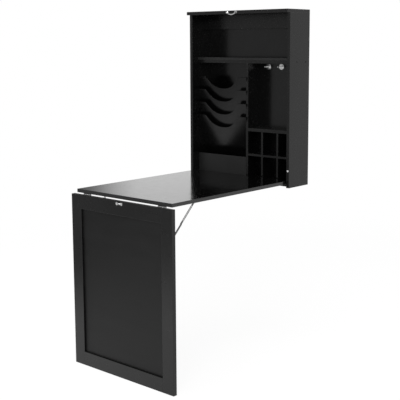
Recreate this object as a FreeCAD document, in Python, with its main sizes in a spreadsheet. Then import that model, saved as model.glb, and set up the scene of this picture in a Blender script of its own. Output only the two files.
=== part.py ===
import FreeCAD, Part
import math
import os
import Sketcher
from FreeCAD import Placement, Rotation, Vector

# Fold-down wall desk: a shallow case hung on a wall, a desk board that drops from it, and a framed
# chalkboard panel hinged to the board's front edge, which is the leg when open and the door when shut.
# X runs along the wall, Y into it and Z up. The origin is on the wall, amid the four fixing holes.
# The desk is modelled open. All sizes are millimetres, and heights are counted from the floor.

doc = FreeCAD.newDocument("wall_desk")
dims = doc.addObject("Spreadsheet::Sheet", "dims")

DRIVING_SIZES = [
    ("desk_height", 755, "floor to the desk's writing face"),
    ("case_width", 584, "case over its sides"),
    ("case_height", 776, "case over its top"),
    ("case_depth", 144, "wall to the sides' front edges"),
    ("case_drop", 30, "writing face down to the case's lower edge"),
    ("board", 15, "painted board of the case"),
    ("edge_round", 1, "softened arris of a board"),
    ("top_overhang", 20, "top board past the sides' front edges"),
    ("bottom_setback", 31, "bottom board behind the sides' front edges"),
    ("back_board", 15, "back board"),
    ("rail_height", 65, "hanging rail"),
    ("rail_board", 15, "hanging rail"),
    ("mount_spacing_wide", 406, "fixing holes across, two studs apart"),
    ("mount_spacing_high", 32, "fixing holes up and down"),
    ("mount_hole", 2.75, "fixing hole's radius"),
    ("fitting_setback", 42, "shelves and dividers behind the front edges"),
    ("divider_left", 15.5, "centre line to the divider's left face"),
    ("divider_board", 12, "centre divider"),
    ("main_shelf_up", 541, "case's lower edge to the main shelf's underside"),
    ("lip_height", 10, "main shelf's front lip"),
    ("lip_board", 12, "main shelf's front lip"),
    ("lower_shelf_up", 232, "case's lower edge to the lower shelf's underside"),
    ("cross_shelf_up", 120, "case's lower edge to the cubby cross shelf"),
    ("cubby_board", 9, "cubby boards"),
    ("joint_ease", 0.15, "each side of a halving joint or groove"),
    ("tier_board", 4, "letter tiers"),
    ("tier_top_up", 476, "case's lower edge to the highest tier's shoulders"),
    ("tier_pitch", 60.5, "one tier's shoulder to the next"),
    ("tier_setback", 34, "tiers' front edges behind the sides' front edges"),
    ("tier_lean", 20, "degrees that the tiers lean forward"),
    ("tier_length", 217, "a tier along its slope"),
    ("scoop_width", 194, "scoop across its mouth"),
    ("scoop_floor", 110, "scoop across its bottom, before rounding"),
    ("scoop_depth", 58.5, "scoop below the shoulders, along the slope"),
    ("scoop_shoulder", 12, "rounding where a shoulder turns into the scoop"),
    ("scoop_corner", 95, "scoop's lower corners"),
    ("groove_depth", 5, "tier grooves in the side and the divider"),
    ("pocket_floor_height", 10, "strip that closes a letter pocket"),
    ("rack_floor_board", 9, "floor behind the highest tier"),
    ("apron_height", 95, "apron before the lowest tier's foot"),
    ("apron_board", 9, "apron before the lowest tier's foot"),
    ("apron_setback", 46, "apron behind the sides' front edges"),
    ("desk_board", 15, "desk board"),
    ("desk_side_gap", 2, "desk board to each side"),
    ("desk_tail", 9, "desk board behind its pivot"),
    ("desk_top_gap", 2, "shut desk board below the top board"),
    ("hinge_offset", 5, "leg hinge's axis off either panel"),
    ("shut_gap", 1, "shut leg panel off the sides' front edges"),
    ("leg_board", 18, "leg frame"),
    ("leg_side_reveal", 1, "leg frame inside the case's width"),
    ("frame_width", 59, "leg frame's stiles and rails"),
    ("chalk_recess", 8, "chalkboard below the frame's face"),
    ("chalk_board", 4, "chalkboard"),
    ("frame_groove", 8, "groove round the frame's inner edges"),
    ("pivot_radius", 3, "desk pivot pin"),
    ("pivot_grip", 20, "desk pivot pin in the desk board"),
    ("bush_radius", 5, "pivot bush"),
    ("bush_flange", 8, "pivot bush's flange radius"),
    ("bush_flange_board", 1, "pivot bush's flange"),
    ("bush_length", 10, "pivot bush in the side"),
    ("running_gap", 0.05, "pin in its bore, on the radius"),
    ("seat_gap", 0.05, "fastener in its hole, on the radius"),
    ("dowel_radius", 4, "case dowel"),
    ("dowel_length", 25, "case dowel"),
    ("dowel_bite", 10, "case dowel in the thinner board"),
    ("dowel_inset", 30, "case dowels from a board's front and back edges"),
    ("shelf_screw_radius", 2, "main shelf screw's shank"),
    ("shelf_screw_head", 3, "main shelf screw's head radius"),
    ("shelf_screw_head_length", 3, "main shelf screw's head"),
    ("shelf_screw_sink", 1.5, "main shelf screw's head below the face"),
    ("shelf_screw_length", 38, "main shelf screw's shank"),
    ("shelf_screw_back", 27, "rear main shelf screw to the wall"),
    ("shelf_screw_pitch", 67, "one main shelf screw to the other"),
    ("hinge_length", 40, "leg hinge along its pin"),
    ("hinge_inset", 58, "leg hinge's centre to the desk board's end"),
    ("hinge_leaf", 2, "leg hinge leaf"),
    ("hinge_leaf_width", 30, "leg hinge leaf from the pin's axis"),
    ("hinge_barrel", 4.6, "leg hinge knuckle's radius"),
    ("hinge_pin", 2.4, "leg hinge pin's radius"),
    ("hinge_pin_button", 3.8, "leg hinge pin's end button radius"),
    ("hinge_pin_button_length", 0.8, "leg hinge pin's end button"),
    ("knuckle_length", 12, "outer hinge knuckle"),
    ("knuckle_gap", 0.3, "between hinge knuckles"),
    ("hinge_screw_out", 20, "hinge screws from the pin's axis"),
    ("hinge_screw_pitch", 24, "hinge screws along the pin"),
    ("screw_radius", 1.6, "small screw's shank"),
    ("screw_head", 3.2, "small screw's head radius"),
    ("screw_head_height", 1.4, "small screw's head"),
    ("screw_length", 11, "small screw below its head"),
    ("stay_arm", 150, "stay pivots from the hinge's axis"),
    ("stay_inset", 30, "stay from the desk board's end"),
    ("stay_bar", 1.5, "stay arm's metal"),
    ("stay_width", 8, "stay arm across"),
    ("stay_gap", 0.3, "between the stay's layers"),
    ("stay_slot", 3, "upper stay arm's slot"),
    ("stay_slot_margin", 14, "slot's end to the arm's pivot"),
    ("stay_rivet", 2, "stay rivet's radius"),
    ("stay_rivet_head", 3, "stay rivet's head radius"),
    ("stay_rivet_head_height", 1, "stay rivet's head"),
    ("stay_ear", 4.2, "stay bracket's rounded ear"),
    ("stay_foot_wide", 13, "stay bracket's foot across"),
    ("stay_foot_long", 34, "stay bracket's foot along"),
    ("stay_screw_pitch", 22, "stay bracket's screws"),
    ("latch_reach", 52, "latch pivot to the hook's notch"),
    ("latch_metal", 1.5, "latch hook's metal"),
    ("latch_eye", 5, "latch hook's eye radius"),
    ("latch_head", 6.5, "latch hook's head radius"),
    ("latch_arm", 4.5, "latch hook's arm across"),
    ("latch_sag", 10, "latch hook's arm below its chord"),
    ("latch_gap", 0.1, "latch hook off its washer and screw head"),
    ("latch_washer", 6, "latch washer's radius"),
    ("latch_washer_height", 1, "latch washer"),
    ("latch_screw", 2, "latch screw's shank radius"),
    ("latch_screw_head", 3.6, "latch screw's head radius"),
    ("latch_screw_grip", 14, "latch screw in the top board"),
    ("keeper_drop", 10.5, "leg's top edge to the keeper stud"),
    ("keeper_length", 39, "keeper plate over its lobes"),
    ("keeper_lobe", 6.5, "keeper plate's lobe radius"),
    ("keeper_waist", 3.5, "keeper plate's half width at the stud"),
    ("keeper_metal", 1.2, "keeper plate"),
    ("keeper_stud", 2, "keeper stud's radius"),
    ("keeper_stud_ease", 0.3, "hook's notch round the stud"),
    ("keeper_cap", 3.4, "keeper stud's cap radius"),
    ("keeper_cap_height", 1.2, "keeper stud's cap"),
    ("keeper_cap_off", 4.2, "keeper stud's cap off the leg's face"),
    ("keeper_screw_pitch", 26, "keeper screws"),
    ("keeper_screw_head", 2.6, "keeper screw's sunk head radius"),
    ("bumper_radius", 4.5, "bumper dot"),
    ("bumper_height", 0.7, "bumper dot"),
    ("bumper_up", 75, "case's lower edge to the bumper dot"),
    ("coat_hook_drop", 16, "main shelf's underside to the hooks"),
    ("coat_hook_pitch", 73.2, "one coat hook to the next"),
    ("coat_hook_plate", 13.5, "coat hook's round plate radius"),
    ("coat_hook_plate_height", 3, "coat hook's round plate"),
    ("coat_hook_dome", 9, "coat hook's raised boss radius"),
    ("coat_hook_dome_height", 3, "coat hook's raised boss"),
    ("coat_hook_neck", 3, "coat hook's peg radius"),
    ("coat_hook_peg", 24, "coat hook's peg past its plate"),
    ("coat_hook_ball", 5, "coat hook's ball radius"),
    ("coat_hook_stud", 10, "coat hook's stud in the back board"),
]
TIER_NAMES = ["letter_tier_top", "letter_tier_upper", "letter_tier_lower", "letter_tier_bottom"]
SIDES = [("left", -1), ("right", 1)]
NEAR = 1e-4
BAR_TURNS = {"X": Rotation(Vector(0, 1, 0), 90), "Y": Rotation(Vector(1, 0, 0), -90), "Z": Rotation()}

# Heights above the floor and places along the wall that several pieces share.
CASE_LOW = "(dims.desk_height - dims.case_drop)"
CASE_HIGH = f"({CASE_LOW} + dims.case_height)"
TOP_UNDERSIDE = f"({CASE_HIGH} - dims.board)"
BOTTOM_FACE = f"({CASE_LOW} + dims.board)"
ORIGIN_HEIGHT = f"({TOP_UNDERSIDE} - dims.rail_height / 2)"
SIDE_HEIGHT = "(dims.case_height - dims.board)"
FRONT = "(-dims.case_depth)"
INNER_RIGHT = "(dims.case_width / 2 - dims.board)"
INNER_WIDTH = "(dims.case_width - 2 * dims.board)"
FITTING_FRONT = f"({FRONT} + dims.fitting_setback)"
FITTING_DEPTH = "(dims.case_depth - dims.back_board - dims.fitting_setback)"
BACK_FACE = "(-dims.back_board)"
MAIN_SHELF_LOW = f"({CASE_LOW} + dims.main_shelf_up)"
LOWER_SHELF_LOW = f"({CASE_LOW} + dims.lower_shelf_up)"
DIVIDER_RIGHT = "(dims.divider_left + dims.divider_board)"
RACK_WIDTH = f"({INNER_RIGHT} + dims.divider_left)"
BAY_WIDTH = f"({INNER_RIGHT} - {DIVIDER_RIGHT})"
CUBBY_WIDTH = f"(({BAY_WIDTH} - 2 * dims.cubby_board) / 3)"

# A tier's foot is its lower front edge. The lowest tier's foot is the frame that the grooves share.
LEAN_SIN = "sin(dims.tier_lean * 1deg)"
LEAN_COS = "cos(dims.tier_lean * 1deg)"
TIER_FOOT_Y = f"({FRONT} + dims.tier_setback + dims.tier_length * {LEAN_SIN})"
TIER_FOOT_UP = f"(dims.tier_top_up - dims.tier_length * {LEAN_COS})"
TIER_BACK_Y = f"({TIER_FOOT_Y} + dims.tier_board * {LEAN_COS})"

SCREW_HOLE = "(dims.screw_radius + dims.seat_gap)"

# The desk board turns about Q. The leg panel turns about P, off the board's lower front edge.
DESK_UNDERSIDE = "(dims.desk_height - dims.desk_board)"
PIVOT_SETBACK = "(2 * dims.hinge_offset - dims.shut_gap + dims.desk_board / 2)"
Q_Y = f"({FRONT} + {PIVOT_SETBACK})"
Q_Z = "(dims.desk_height - dims.desk_board / 2)"
DESK_REACH = f"({TOP_UNDERSIDE} - dims.desk_top_gap - {Q_Z})"
DESK_FRONT = f"({Q_Y} - {DESK_REACH})"
DESK_WIDTH = f"({INNER_WIDTH} - 2 * dims.desk_side_gap)"
P_Y = f"({DESK_FRONT} + dims.hinge_offset)"
P_Z = f"({DESK_UNDERSIDE} - dims.hinge_offset)"
HINGE_X = f"({DESK_WIDTH} / 2 - dims.hinge_inset)"
LEG_OUTER = f"({DESK_FRONT} - dims.leg_board)"
LEG_WIDTH = "(dims.case_width - 2 * dims.leg_side_reveal)"
OPENING_WIDTH = f"({LEG_WIDTH} - 2 * dims.frame_width)"
OPENING_HEIGHT = f"({P_Z} - 2 * dims.frame_width)"

# The stay's upper pivot is level with P and its lower pivot plumb below P, the same length away,
# so its arms slope at 45 degrees. Their turns are from upright, in degrees.
STAY_X = f"({DESK_WIDTH} / 2 - dims.stay_inset)"
STAY_LINK = "(dims.stay_arm / sqrt(2))"
UPPER_ARM_TURN, LOWER_ARM_TURN = "135", "-45"
UPPER_PIVOT_Y = f"({P_Y} + dims.stay_arm)"
LOWER_PIVOT_Z = f"({P_Z} - dims.stay_arm)"
DESK_EAR_X = f"({STAY_X} - 1.5 * dims.stay_gap - 2 * dims.stay_bar)"
UPPER_ARM_X = f"({STAY_X} - dims.stay_gap / 2 - dims.stay_bar)"
LOWER_ARM_X = f"({STAY_X} + dims.stay_gap / 2)"
LEG_EAR_X = f"({STAY_X} + 1.5 * dims.stay_gap + dims.stay_bar)"
DESK_FOOT_X = f"({DESK_EAR_X} + dims.stay_bar - dims.stay_foot_wide)"
DESK_FOOT_SCREW_X = f"({DESK_EAR_X} + dims.stay_bar / 2 - dims.stay_foot_wide / 2)"
LEG_FOOT_SCREW_X = f"({LEG_EAR_X} + dims.stay_bar / 2 + dims.stay_foot_wide / 2)"

# The latch hook turns on the top board's front edge. Shut, the stud lies where the notch comes down.
TOP_FRONT = f"({FRONT} - dims.top_overhang)"
LATCH_Z = f"({CASE_HIGH} - dims.board / 2)"
SHUT_LEG_TOP = f"({Q_Z} + {Q_Y} - {P_Y})"
LATCH_DROP = f"({LATCH_Z} - {SHUT_LEG_TOP} + dims.keeper_drop)"
LATCH_X = f"(-sqrt(dims.latch_reach ^ 2 - {LATCH_DROP} ^ 2))"
HOOK_Y = f"({TOP_FRONT} - dims.latch_washer_height - dims.latch_gap - dims.latch_metal)"
KEEPER_Z = f"({P_Z} - dims.keeper_drop)"


def fill_sheet():
    """Writes the driving sizes into the sheet, each with its alias and a note."""
    for row, (alias, size, note) in enumerate(DRIVING_SIZES, start=1):
        dims.set(f"A{row}", alias)
        dims.set(f"B{row}", str(size))
        dims.set(f"C{row}", note)
        dims.setAlias(f"B{row}", alias)
    doc.recompute()


def amount(expression):
    """The number that an expression on the sheet stands for."""
    found = dims.evalExpression(expression)
    return float(getattr(found, "Value", found))


def place(item, x, y, height):
    """Puts an item's own origin at x and y, and at a height above the floor."""
    item.setExpression("Placement.Base.x", x)
    item.setExpression("Placement.Base.y", y)
    item.setExpression("Placement.Base.z", f"{height} - {ORIGIN_HEIGHT}")


def lean_about_x(item, angle):
    """Turns an item about its own X axis by an angle on the sheet, in degrees."""
    item.Placement = Placement(Vector(), Rotation(Vector(1, 0, 0), 1))
    item.setExpression("Placement.Rotation.Angle", angle)


def mirrored(side, offset, length="0"):
    """The lower X of something that starts offset from the centre line, on the left or the right."""
    return f"({offset})" if side > 0 else f"(-({offset}) - ({length}))"


# ---------------------------------------------------------------- boards


def new_body(label):
    body = doc.addObject("PartDesign::Body", label)
    body.Label = label
    return body


def sketch_on(body, role, lift="0"):
    """A sketch on one of the body's own origin planes, lifted along the plane's normal."""
    plane = next(item for item in body.Origin.OriginFeatures if item.Role == role)
    sketch = body.newObject("Sketcher::SketchObject", f"{body.Name}_sketch")
    sketch.AttachmentSupport = (plane, "")
    sketch.MapMode = "FlatFace"
    sketch.setExpression("AttachmentOffset.Base.z", lift)
    return sketch


def constrain(sketch, kind, *where, size):
    """Adds one sized constraint and binds it to the sheet."""
    index = sketch.addConstraint(Sketcher.Constraint(kind, *where, amount(size)))
    sketch.setExpression(f"Constraints[{index}]", size)


def outline(sketch, corners):
    """A closed outline of straight lines, every corner bound to the sheet."""
    spots = [Vector(amount(x), amount(y), 0) for x, y in corners]
    first = sketch.GeometryCount
    for number, spot in enumerate(spots):
        sketch.addGeometry(Part.LineSegment(spot, spots[(number + 1) % len(spots)]), False)
    for number, (x, y) in enumerate(corners):
        following = first + (number + 1) % len(corners)
        sketch.addConstraint(Sketcher.Constraint("Coincident", first + number, 2, following, 1))
        constrain(sketch, "DistanceX", -1, 1, first + number, 1, size=x)
        constrain(sketch, "DistanceY", -1, 1, first + number, 1, size=y)


def rectangle(sketch, left, low, width, height):
    right, high = f"{left} + {width}", f"{low} + {height}"
    outline(sketch, [(left, low), (right, low), (right, high), (left, high)])


def circle(sketch, x, y, radius):
    """A circle whose centre and radius are bound to the sheet."""
    centre = Vector(amount(x), amount(y), 0)
    index = sketch.addGeometry(Part.Circle(centre, Vector(0, 0, 1), amount(radius)), False)
    constrain(sketch, "DistanceX", -1, 1, index, 3, size=x)
    constrain(sketch, "DistanceY", -1, 1, index, 3, size=y)
    constrain(sketch, "Radius", index, size=radius)


def pad(sketch, length, reverse=False):
    body = sketch.getParentGeoFeatureGroup()
    feature = body.newObject("PartDesign::Pad", f"{body.Name}_pad")
    feature.Profile = sketch
    feature.setExpression("Length", length)
    feature.Reversed = reverse
    body.Tip = feature
    doc.recompute()


def pocket(sketch, depth, reverse=False):
    """Cuts a sketch into its body, and refuses a cut that removes nothing."""
    body = sketch.getParentGeoFeatureGroup()
    before = body.Shape.Volume
    feature = body.newObject("PartDesign::Pocket", f"{body.Name}_pocket")
    feature.Profile = sketch
    feature.setExpression("Length", depth)
    feature.Reversed = reverse
    body.Tip = feature
    doc.recompute()
    if not body.Shape.Volume < before:
        raise RuntimeError(f"{feature.Name} cuts nothing out of {body.Label}")


def drill(body, role, lift, spots, radius, depth, reverse=False):
    """Drills round holes of one size, square to one of the body's origin planes."""
    sketch = sketch_on(body, role, lift)
    for x, y in spots:
        circle(sketch, x, y, radius)
    pocket(sketch, depth, reverse)


def soften(body, radius, is_soft):
    """Rounds the straight edges that is_soft picks by their two end points."""
    feature = body.Tip
    names = []
    for number, edge in enumerate(feature.Shape.Edges, start=1):
        ends = [vertex.Point for vertex in edge.Vertexes]
        if len(ends) == 2 and edge.Curve.TypeId == "Part::GeomLine" and is_soft(*ends):
            names.append(f"Edge{number}")
    fillet = body.newObject("PartDesign::Fillet", f"{body.Name}_fillet")
    fillet.Base = (feature, names)
    fillet.setExpression("Radius", radius)
    body.Tip = fillet
    doc.recompute()


def runs_at(axis, level, along=None):
    """Picks straight edges at a level on an axis (0, 1 or 2), and if given only those along another."""
    def is_soft(start, end):
        is_level = all(math.isclose(point[axis], level, abs_tol=NEAR) for point in (start, end))
        return is_level and (along is None or abs(end[along] - start[along]) > NEAR)
    return is_soft


def board(label, width, depth, height, x, y, low):
    """A board sawn square, its lower left front corner at x, y and a height above the floor."""
    body = new_body(label)
    sketch = sketch_on(body, "XY_Plane")
    rectangle(sketch, "0", "0", width, depth)
    pad(sketch, height)
    place(body, x, y, low)
    return body


# ---------------------------------------------------------------- turned and bent metal


def rod(name, radius, length, x, y, height, along):
    """A round bar that starts at a place and runs along +X, +Y or +Z."""
    item = doc.addObject("Part::Cylinder", name)
    item.Placement = Placement(Vector(), BAR_TURNS[along])
    item.setExpression("Radius", radius)
    item.setExpression("Height", length)
    place(item, x, y, height)
    return item


def slab(name, width, depth, height, x, y, low):
    """A plain block, its lower left front corner at a place."""
    item = doc.addObject("Part::Box", name)
    item.setExpression("Length", width)
    item.setExpression("Width", depth)
    item.setExpression("Height", height)
    place(item, x, y, low)
    return item


def joined(label, pieces):
    item = doc.addObject("Part::MultiFuse", label)
    item.Shapes = pieces
    item.Label = label
    return item


def bored(label, solid, tools):
    """A solid with its holes and notches cut out of it."""
    item = doc.addObject("Part::Cut", label)
    item.Base = solid
    item.Tool = tools[0] if len(tools) == 1 else joined(f"{label}_holes", tools)
    item.Label = label
    return item


def group(label, pieces):
    """Like pieces that share one node and stay separate solids."""
    item = doc.addObject("Part::Compound", label)
    item.Links = pieces
    item.Label = label
    return item


def pan_screw(name, x, y, height, along, metal):
    """A pan head screw through sheet metal, driven up into a board or forward into the leg panel."""
    head, length = "dims.screw_head_height", "dims.screw_length"
    starts = {"up": ("Z", y, f"{height} - {metal} - {head}", y, f"{height} - {metal}"),
              "forward": ("Y", f"{y} + {metal}", height, f"{y} + {metal} - {length}", height)}[along]
    axis, head_y, head_z, shank_y, shank_z = starts
    cap = rod(f"{name}_head", "dims.screw_head", head, x, head_y, head_z, axis)
    shank = rod(f"{name}_shank", "dims.screw_radius", length, x, shank_y, shank_z, axis)
    return joined(name, [cap, shank])


# ---------------------------------------------------------------- the case


def side_panel(name, side):
    """A side: shelf screw holes right through it, bush, dowel and tier holes from within and above."""
    left = mirrored(side, INNER_RIGHT, "dims.board")
    body = board(f"side_panel_{name}", "dims.board", "dims.case_depth", SIDE_HEIGHT, left, FRONT, CASE_LOW)
    inner = "0" if side > 0 else "dims.board"
    outer = "dims.board" if side > 0 else "0"
    rear = "dims.case_depth - dims.shelf_screw_back"
    height = "dims.main_shelf_up + dims.board / 2"
    screws = [(rear, height), (f"{rear} - dims.shelf_screw_pitch", height)]
    drill(body, "YZ_Plane", inner, screws, "dims.shelf_screw_radius + dims.seat_gap", "dims.board", side > 0)
    sink = "dims.shelf_screw_head_length + dims.shelf_screw_sink"
    drill(body, "YZ_Plane", outer, screws, "dims.shelf_screw_head + dims.seat_gap", sink, side < 0)
    drill(body, "YZ_Plane", inner, [(PIVOT_SETBACK, f"{Q_Z} - {CASE_LOW}")],
          "dims.bush_radius + dims.seat_gap", "dims.bush_length + dims.seat_gap", side > 0)
    dowel = "dims.dowel_radius + dims.seat_gap"
    low_dowels = [(f"{y} + dims.case_depth", "dims.board / 2") for y in bottom_dowel_places()]
    drill(body, "YZ_Plane", inner, low_dowels, dowel, "dims.dowel_bite + dims.seat_gap", side > 0)
    top_dowels = [("dims.board / 2", f"{y} + dims.case_depth") for y in top_dowel_places()]
    grip = "dims.dowel_length - dims.dowel_bite + dims.seat_gap"
    drill(body, "XY_Plane", SIDE_HEIGHT, top_dowels, dowel, grip)
    if side < 0:
        tier_grooves(body, "dims.board", "dims.case_depth", "0", False)
    soften(body, "dims.edge_round", runs_at(1, 0, along=2))
    return body


def bottom_dowel_places():
    """How far off the wall the bottom board's dowels lie."""
    return [f"{FRONT} + dims.bottom_setback + dims.dowel_inset / 2",
            "-dims.back_board - dims.dowel_inset / 2"]


def top_dowel_places():
    """How far off the wall the top board's dowels lie."""
    return [f"{FRONT} + dims.dowel_inset", "-dims.dowel_inset"]


def tier_grooves(body, lift, behind, above, rightward):
    """Leaning grooves, one for each tier, in a face square to X.

    The body's own origin lies behind off the wall and above over the case's lower edge.
    """
    sketch = sketch_on(body, "YZ_Plane", lift)
    sketch.AttachmentOffset = Placement(Vector(), Rotation(Vector(0, 0, 1), 1))
    sketch.setExpression("AttachmentOffset.Rotation.Angle", "dims.tier_lean")
    sketch.setExpression("AttachmentOffset.Base.x", f"{TIER_FOOT_Y} + {behind}")
    lowest = len(TIER_NAMES) - 1
    sketch.setExpression("AttachmentOffset.Base.y", f"{TIER_FOOT_UP} - {lowest} * dims.tier_pitch - {above}")
    sketch.setExpression("AttachmentOffset.Base.z", lift)
    for step in range(len(TIER_NAMES)):
        rectangle(sketch, f"{step} * dims.tier_pitch * {LEAN_SIN} - dims.joint_ease",
                  f"{step} * dims.tier_pitch * {LEAN_COS} - dims.joint_ease",
                  "dims.tier_board + 2 * dims.joint_ease", "dims.tier_length + 2 * dims.joint_ease")
    pocket(sketch, "dims.groove_depth", rightward)


def top_panel():
    """The top board covers the sides, and overhangs them by a little more than the leg panel."""
    body = board("top_panel", "dims.case_width", "dims.case_depth + dims.top_overhang", "dims.board",
                 "-dims.case_width / 2", TOP_FRONT, TOP_UNDERSIDE)
    spots = [(x, f"{y} - {TOP_FRONT}") for y in top_dowel_places()
             for x in ("dims.board / 2", "dims.case_width - dims.board / 2")]
    drill(body, "XY_Plane", "0", spots, "dims.dowel_radius + dims.seat_gap",
          "dims.dowel_bite + dims.seat_gap", True)
    drill(body, "XZ_Plane", "0", [(f"dims.case_width / 2 + {LATCH_X}", "dims.board / 2")],
          "dims.latch_screw + dims.seat_gap", "dims.latch_screw_grip + dims.seat_gap")
    front, above = runs_at(1, 0), runs_at(2, amount("dims.board"))
    soften(body, "dims.edge_round", lambda a, b: front(a, b) or above(a, b))
    return body


def bottom_panel():
    """The bottom board stands back from the front, which leaves the desk board room to turn."""
    depth = "(dims.case_depth - dims.bottom_setback - dims.back_board)"
    front = f"({FRONT} + dims.bottom_setback)"
    body = board("bottom_panel", INNER_WIDTH, depth, "dims.board", f"-{INNER_RIGHT}", front, CASE_LOW)
    spots = [(f"{y} - {front}", "dims.board / 2") for y in bottom_dowel_places()]
    grip = "dims.dowel_length - dims.dowel_bite + dims.seat_gap"
    drill(body, "YZ_Plane", "0", spots, "dims.dowel_radius + dims.seat_gap", grip, True)
    drill(body, "YZ_Plane", INNER_WIDTH, spots, "dims.dowel_radius + dims.seat_gap", grip)
    soften(body, "dims.edge_round", runs_at(1, 0, along=0))
    return body


def mount_spots(centre_x, centre_z):
    """The four wall fixing holes about a centre."""
    wide, high = "dims.mount_spacing_wide / 2", "dims.mount_spacing_high / 2"
    return [(f"{centre_x} + {i} * {wide}", f"{centre_z} + {k} * {high}") for i in (-1, 1) for k in (-1, 1)]


def back_panel():
    """The back board, bored for the wall fixings and for the coat hooks' studs."""
    body = board("back_panel", INNER_WIDTH, "dims.back_board", SIDE_HEIGHT,
                 f"-{INNER_RIGHT}", BACK_FACE, CASE_LOW)
    spots = mount_spots(INNER_RIGHT, f"{SIDE_HEIGHT} - dims.rail_height / 2")
    drill(body, "XZ_Plane", "0", spots, "dims.mount_hole", "dims.back_board")
    height = "dims.main_shelf_up - dims.coat_hook_drop"
    hooks = [(f"{INNER_RIGHT} + {x}", height) for x in coat_hook_places()]
    drill(body, "XZ_Plane", "0", hooks, "dims.coat_hook_neck + dims.seat_gap",
          "dims.coat_hook_stud + dims.seat_gap")
    return body


def hanging_rail():
    """The rail under the top board, which the wall screws clamp."""
    body = board("hanging_rail", INNER_WIDTH, "dims.rail_board", "dims.rail_height",
                 f"-{INNER_RIGHT}", f"{BACK_FACE} - dims.rail_board", f"{TOP_UNDERSIDE} - dims.rail_height")
    drill(body, "XZ_Plane", "0", mount_spots(INNER_RIGHT, "dims.rail_height / 2"),
          "dims.mount_hole", "dims.rail_board")
    low_front = runs_at(2, 0, along=0)
    soften(body, "dims.edge_round", lambda a, b: low_front(a, b) and math.isclose(a.y, 0, abs_tol=NEAR))
    return body


def case_dowels():
    """Eight dowels: at each side two up into the top board and two across into the bottom board."""
    dowels = []
    for name, side in SIDES:
        x = mirrored(side, f"{INNER_RIGHT} + dims.board / 2")
        for number, y in enumerate(top_dowel_places()):
            dowels.append(rod(f"dowel_top_{name}_{number}", "dims.dowel_radius", "dims.dowel_length",
                              x, y, f"{TOP_UNDERSIDE} + dims.dowel_bite - dims.dowel_length", "Z"))
        start = mirrored(side, f"{INNER_RIGHT} + dims.dowel_bite - dims.dowel_length", "dims.dowel_length")
        for number, y in enumerate(bottom_dowel_places()):
            dowels.append(rod(f"dowel_low_{name}_{number}", "dims.dowel_radius", "dims.dowel_length",
                              start, y, f"{CASE_LOW} + dims.board / 2", "X"))
    return group("case_dowels", dowels)


def shelf_screws():
    """Four screws, sunk in the sides' outer faces, that carry the main shelf's ends."""
    screws = []
    height = f"{MAIN_SHELF_LOW} + dims.board / 2"
    head_start = "dims.case_width / 2 - dims.shelf_screw_sink - dims.shelf_screw_head_length"
    for name, side in SIDES:
        for number in range(2):
            label = f"shelf_screw_{name}_{number}"
            y = f"-dims.shelf_screw_back - {number} * dims.shelf_screw_pitch"
            head_x = mirrored(side, head_start, "dims.shelf_screw_head_length")
            shank_x = mirrored(side, f"{head_start} - dims.shelf_screw_length", "dims.shelf_screw_length")
            head = rod(f"{label}_head", "dims.shelf_screw_head", "dims.shelf_screw_head_length",
                       head_x, y, height, "X")
            shank = rod(f"{label}_shank", "dims.shelf_screw_radius", "dims.shelf_screw_length",
                        shank_x, y, height, "X")
            screws.append(joined(label, [head, shank]))
    return group("shelf_screws", screws)


# ---------------------------------------------------------------- shelves, cubbies and letter rack


def main_shelf():
    """The main shelf, bored at its ends for the screws that come through the sides."""
    body = board("main_shelf", INNER_WIDTH, FITTING_DEPTH, "dims.board",
                 f"-{INNER_RIGHT}", FITTING_FRONT, MAIN_SHELF_LOW)
    rear = "dims.case_depth - dims.fitting_setback - dims.shelf_screw_back"
    spots = [(rear, "dims.board / 2"), (f"{rear} - dims.shelf_screw_pitch", "dims.board / 2")]
    grip = ("dims.shelf_screw_length + dims.shelf_screw_head_length + dims.shelf_screw_sink"
            " - dims.board + dims.seat_gap")
    radius = "dims.shelf_screw_radius + dims.seat_gap"
    drill(body, "YZ_Plane", "0", spots, radius, grip, True)
    drill(body, "YZ_Plane", INNER_WIDTH, spots, radius, grip)
    return body


def shelf_lip():
    """A strip along the main shelf's front edge keeps things from sliding off."""
    body = board("shelf_lip", INNER_WIDTH, "dims.lip_board", "dims.lip_height",
                 f"-{INNER_RIGHT}", FITTING_FRONT, f"{MAIN_SHELF_LOW} + dims.board")
    soften(body, "dims.edge_round", runs_at(2, amount("dims.lip_height"), along=0))
    return body


def centre_divider():
    """The divider stands on the bottom board, carries the main shelf and holds the tiers' right ends."""
    body = board("centre_divider", "dims.divider_board", FITTING_DEPTH, f"({MAIN_SHELF_LOW} - {BOTTOM_FACE})",
                 "dims.divider_left", FITTING_FRONT, BOTTOM_FACE)
    tier_grooves(body, "0", f"dims.case_depth - dims.fitting_setback", "dims.board", True)
    soften(body, "dims.edge_round", runs_at(1, 0, along=2))
    return body


def bay_shelf(label, thickness, low):
    """A shelf between the centre divider and the right side."""
    body = board(label, BAY_WIDTH, FITTING_DEPTH, thickness, DIVIDER_RIGHT, FITTING_FRONT, low)
    return body


def lower_shelf():
    body = bay_shelf("lower_shelf", "dims.board", LOWER_SHELF_LOW)
    soften(body, "dims.edge_round", runs_at(1, 0, along=0))
    return body


def cubby_places():
    """Where the two cubby dividers start, from the centre divider's right face."""
    return [CUBBY_WIDTH, f"(2 * {CUBBY_WIDTH} + dims.cubby_board)"]


def cubby_cross_shelf():
    """The cross shelf, slotted from the front to the middle for the two cubby dividers."""
    body = bay_shelf("cubby_cross_shelf", "dims.cubby_board", f"({CASE_LOW} + dims.cross_shelf_up)")
    sketch = sketch_on(body, "XY_Plane")
    for x in cubby_places():
        rectangle(sketch, f"{x} - dims.joint_ease", "0", "dims.cubby_board + 2 * dims.joint_ease",
                  f"{FITTING_DEPTH} / 2 + dims.joint_ease")
    pocket(sketch, "dims.cubby_board", True)
    return body


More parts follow.
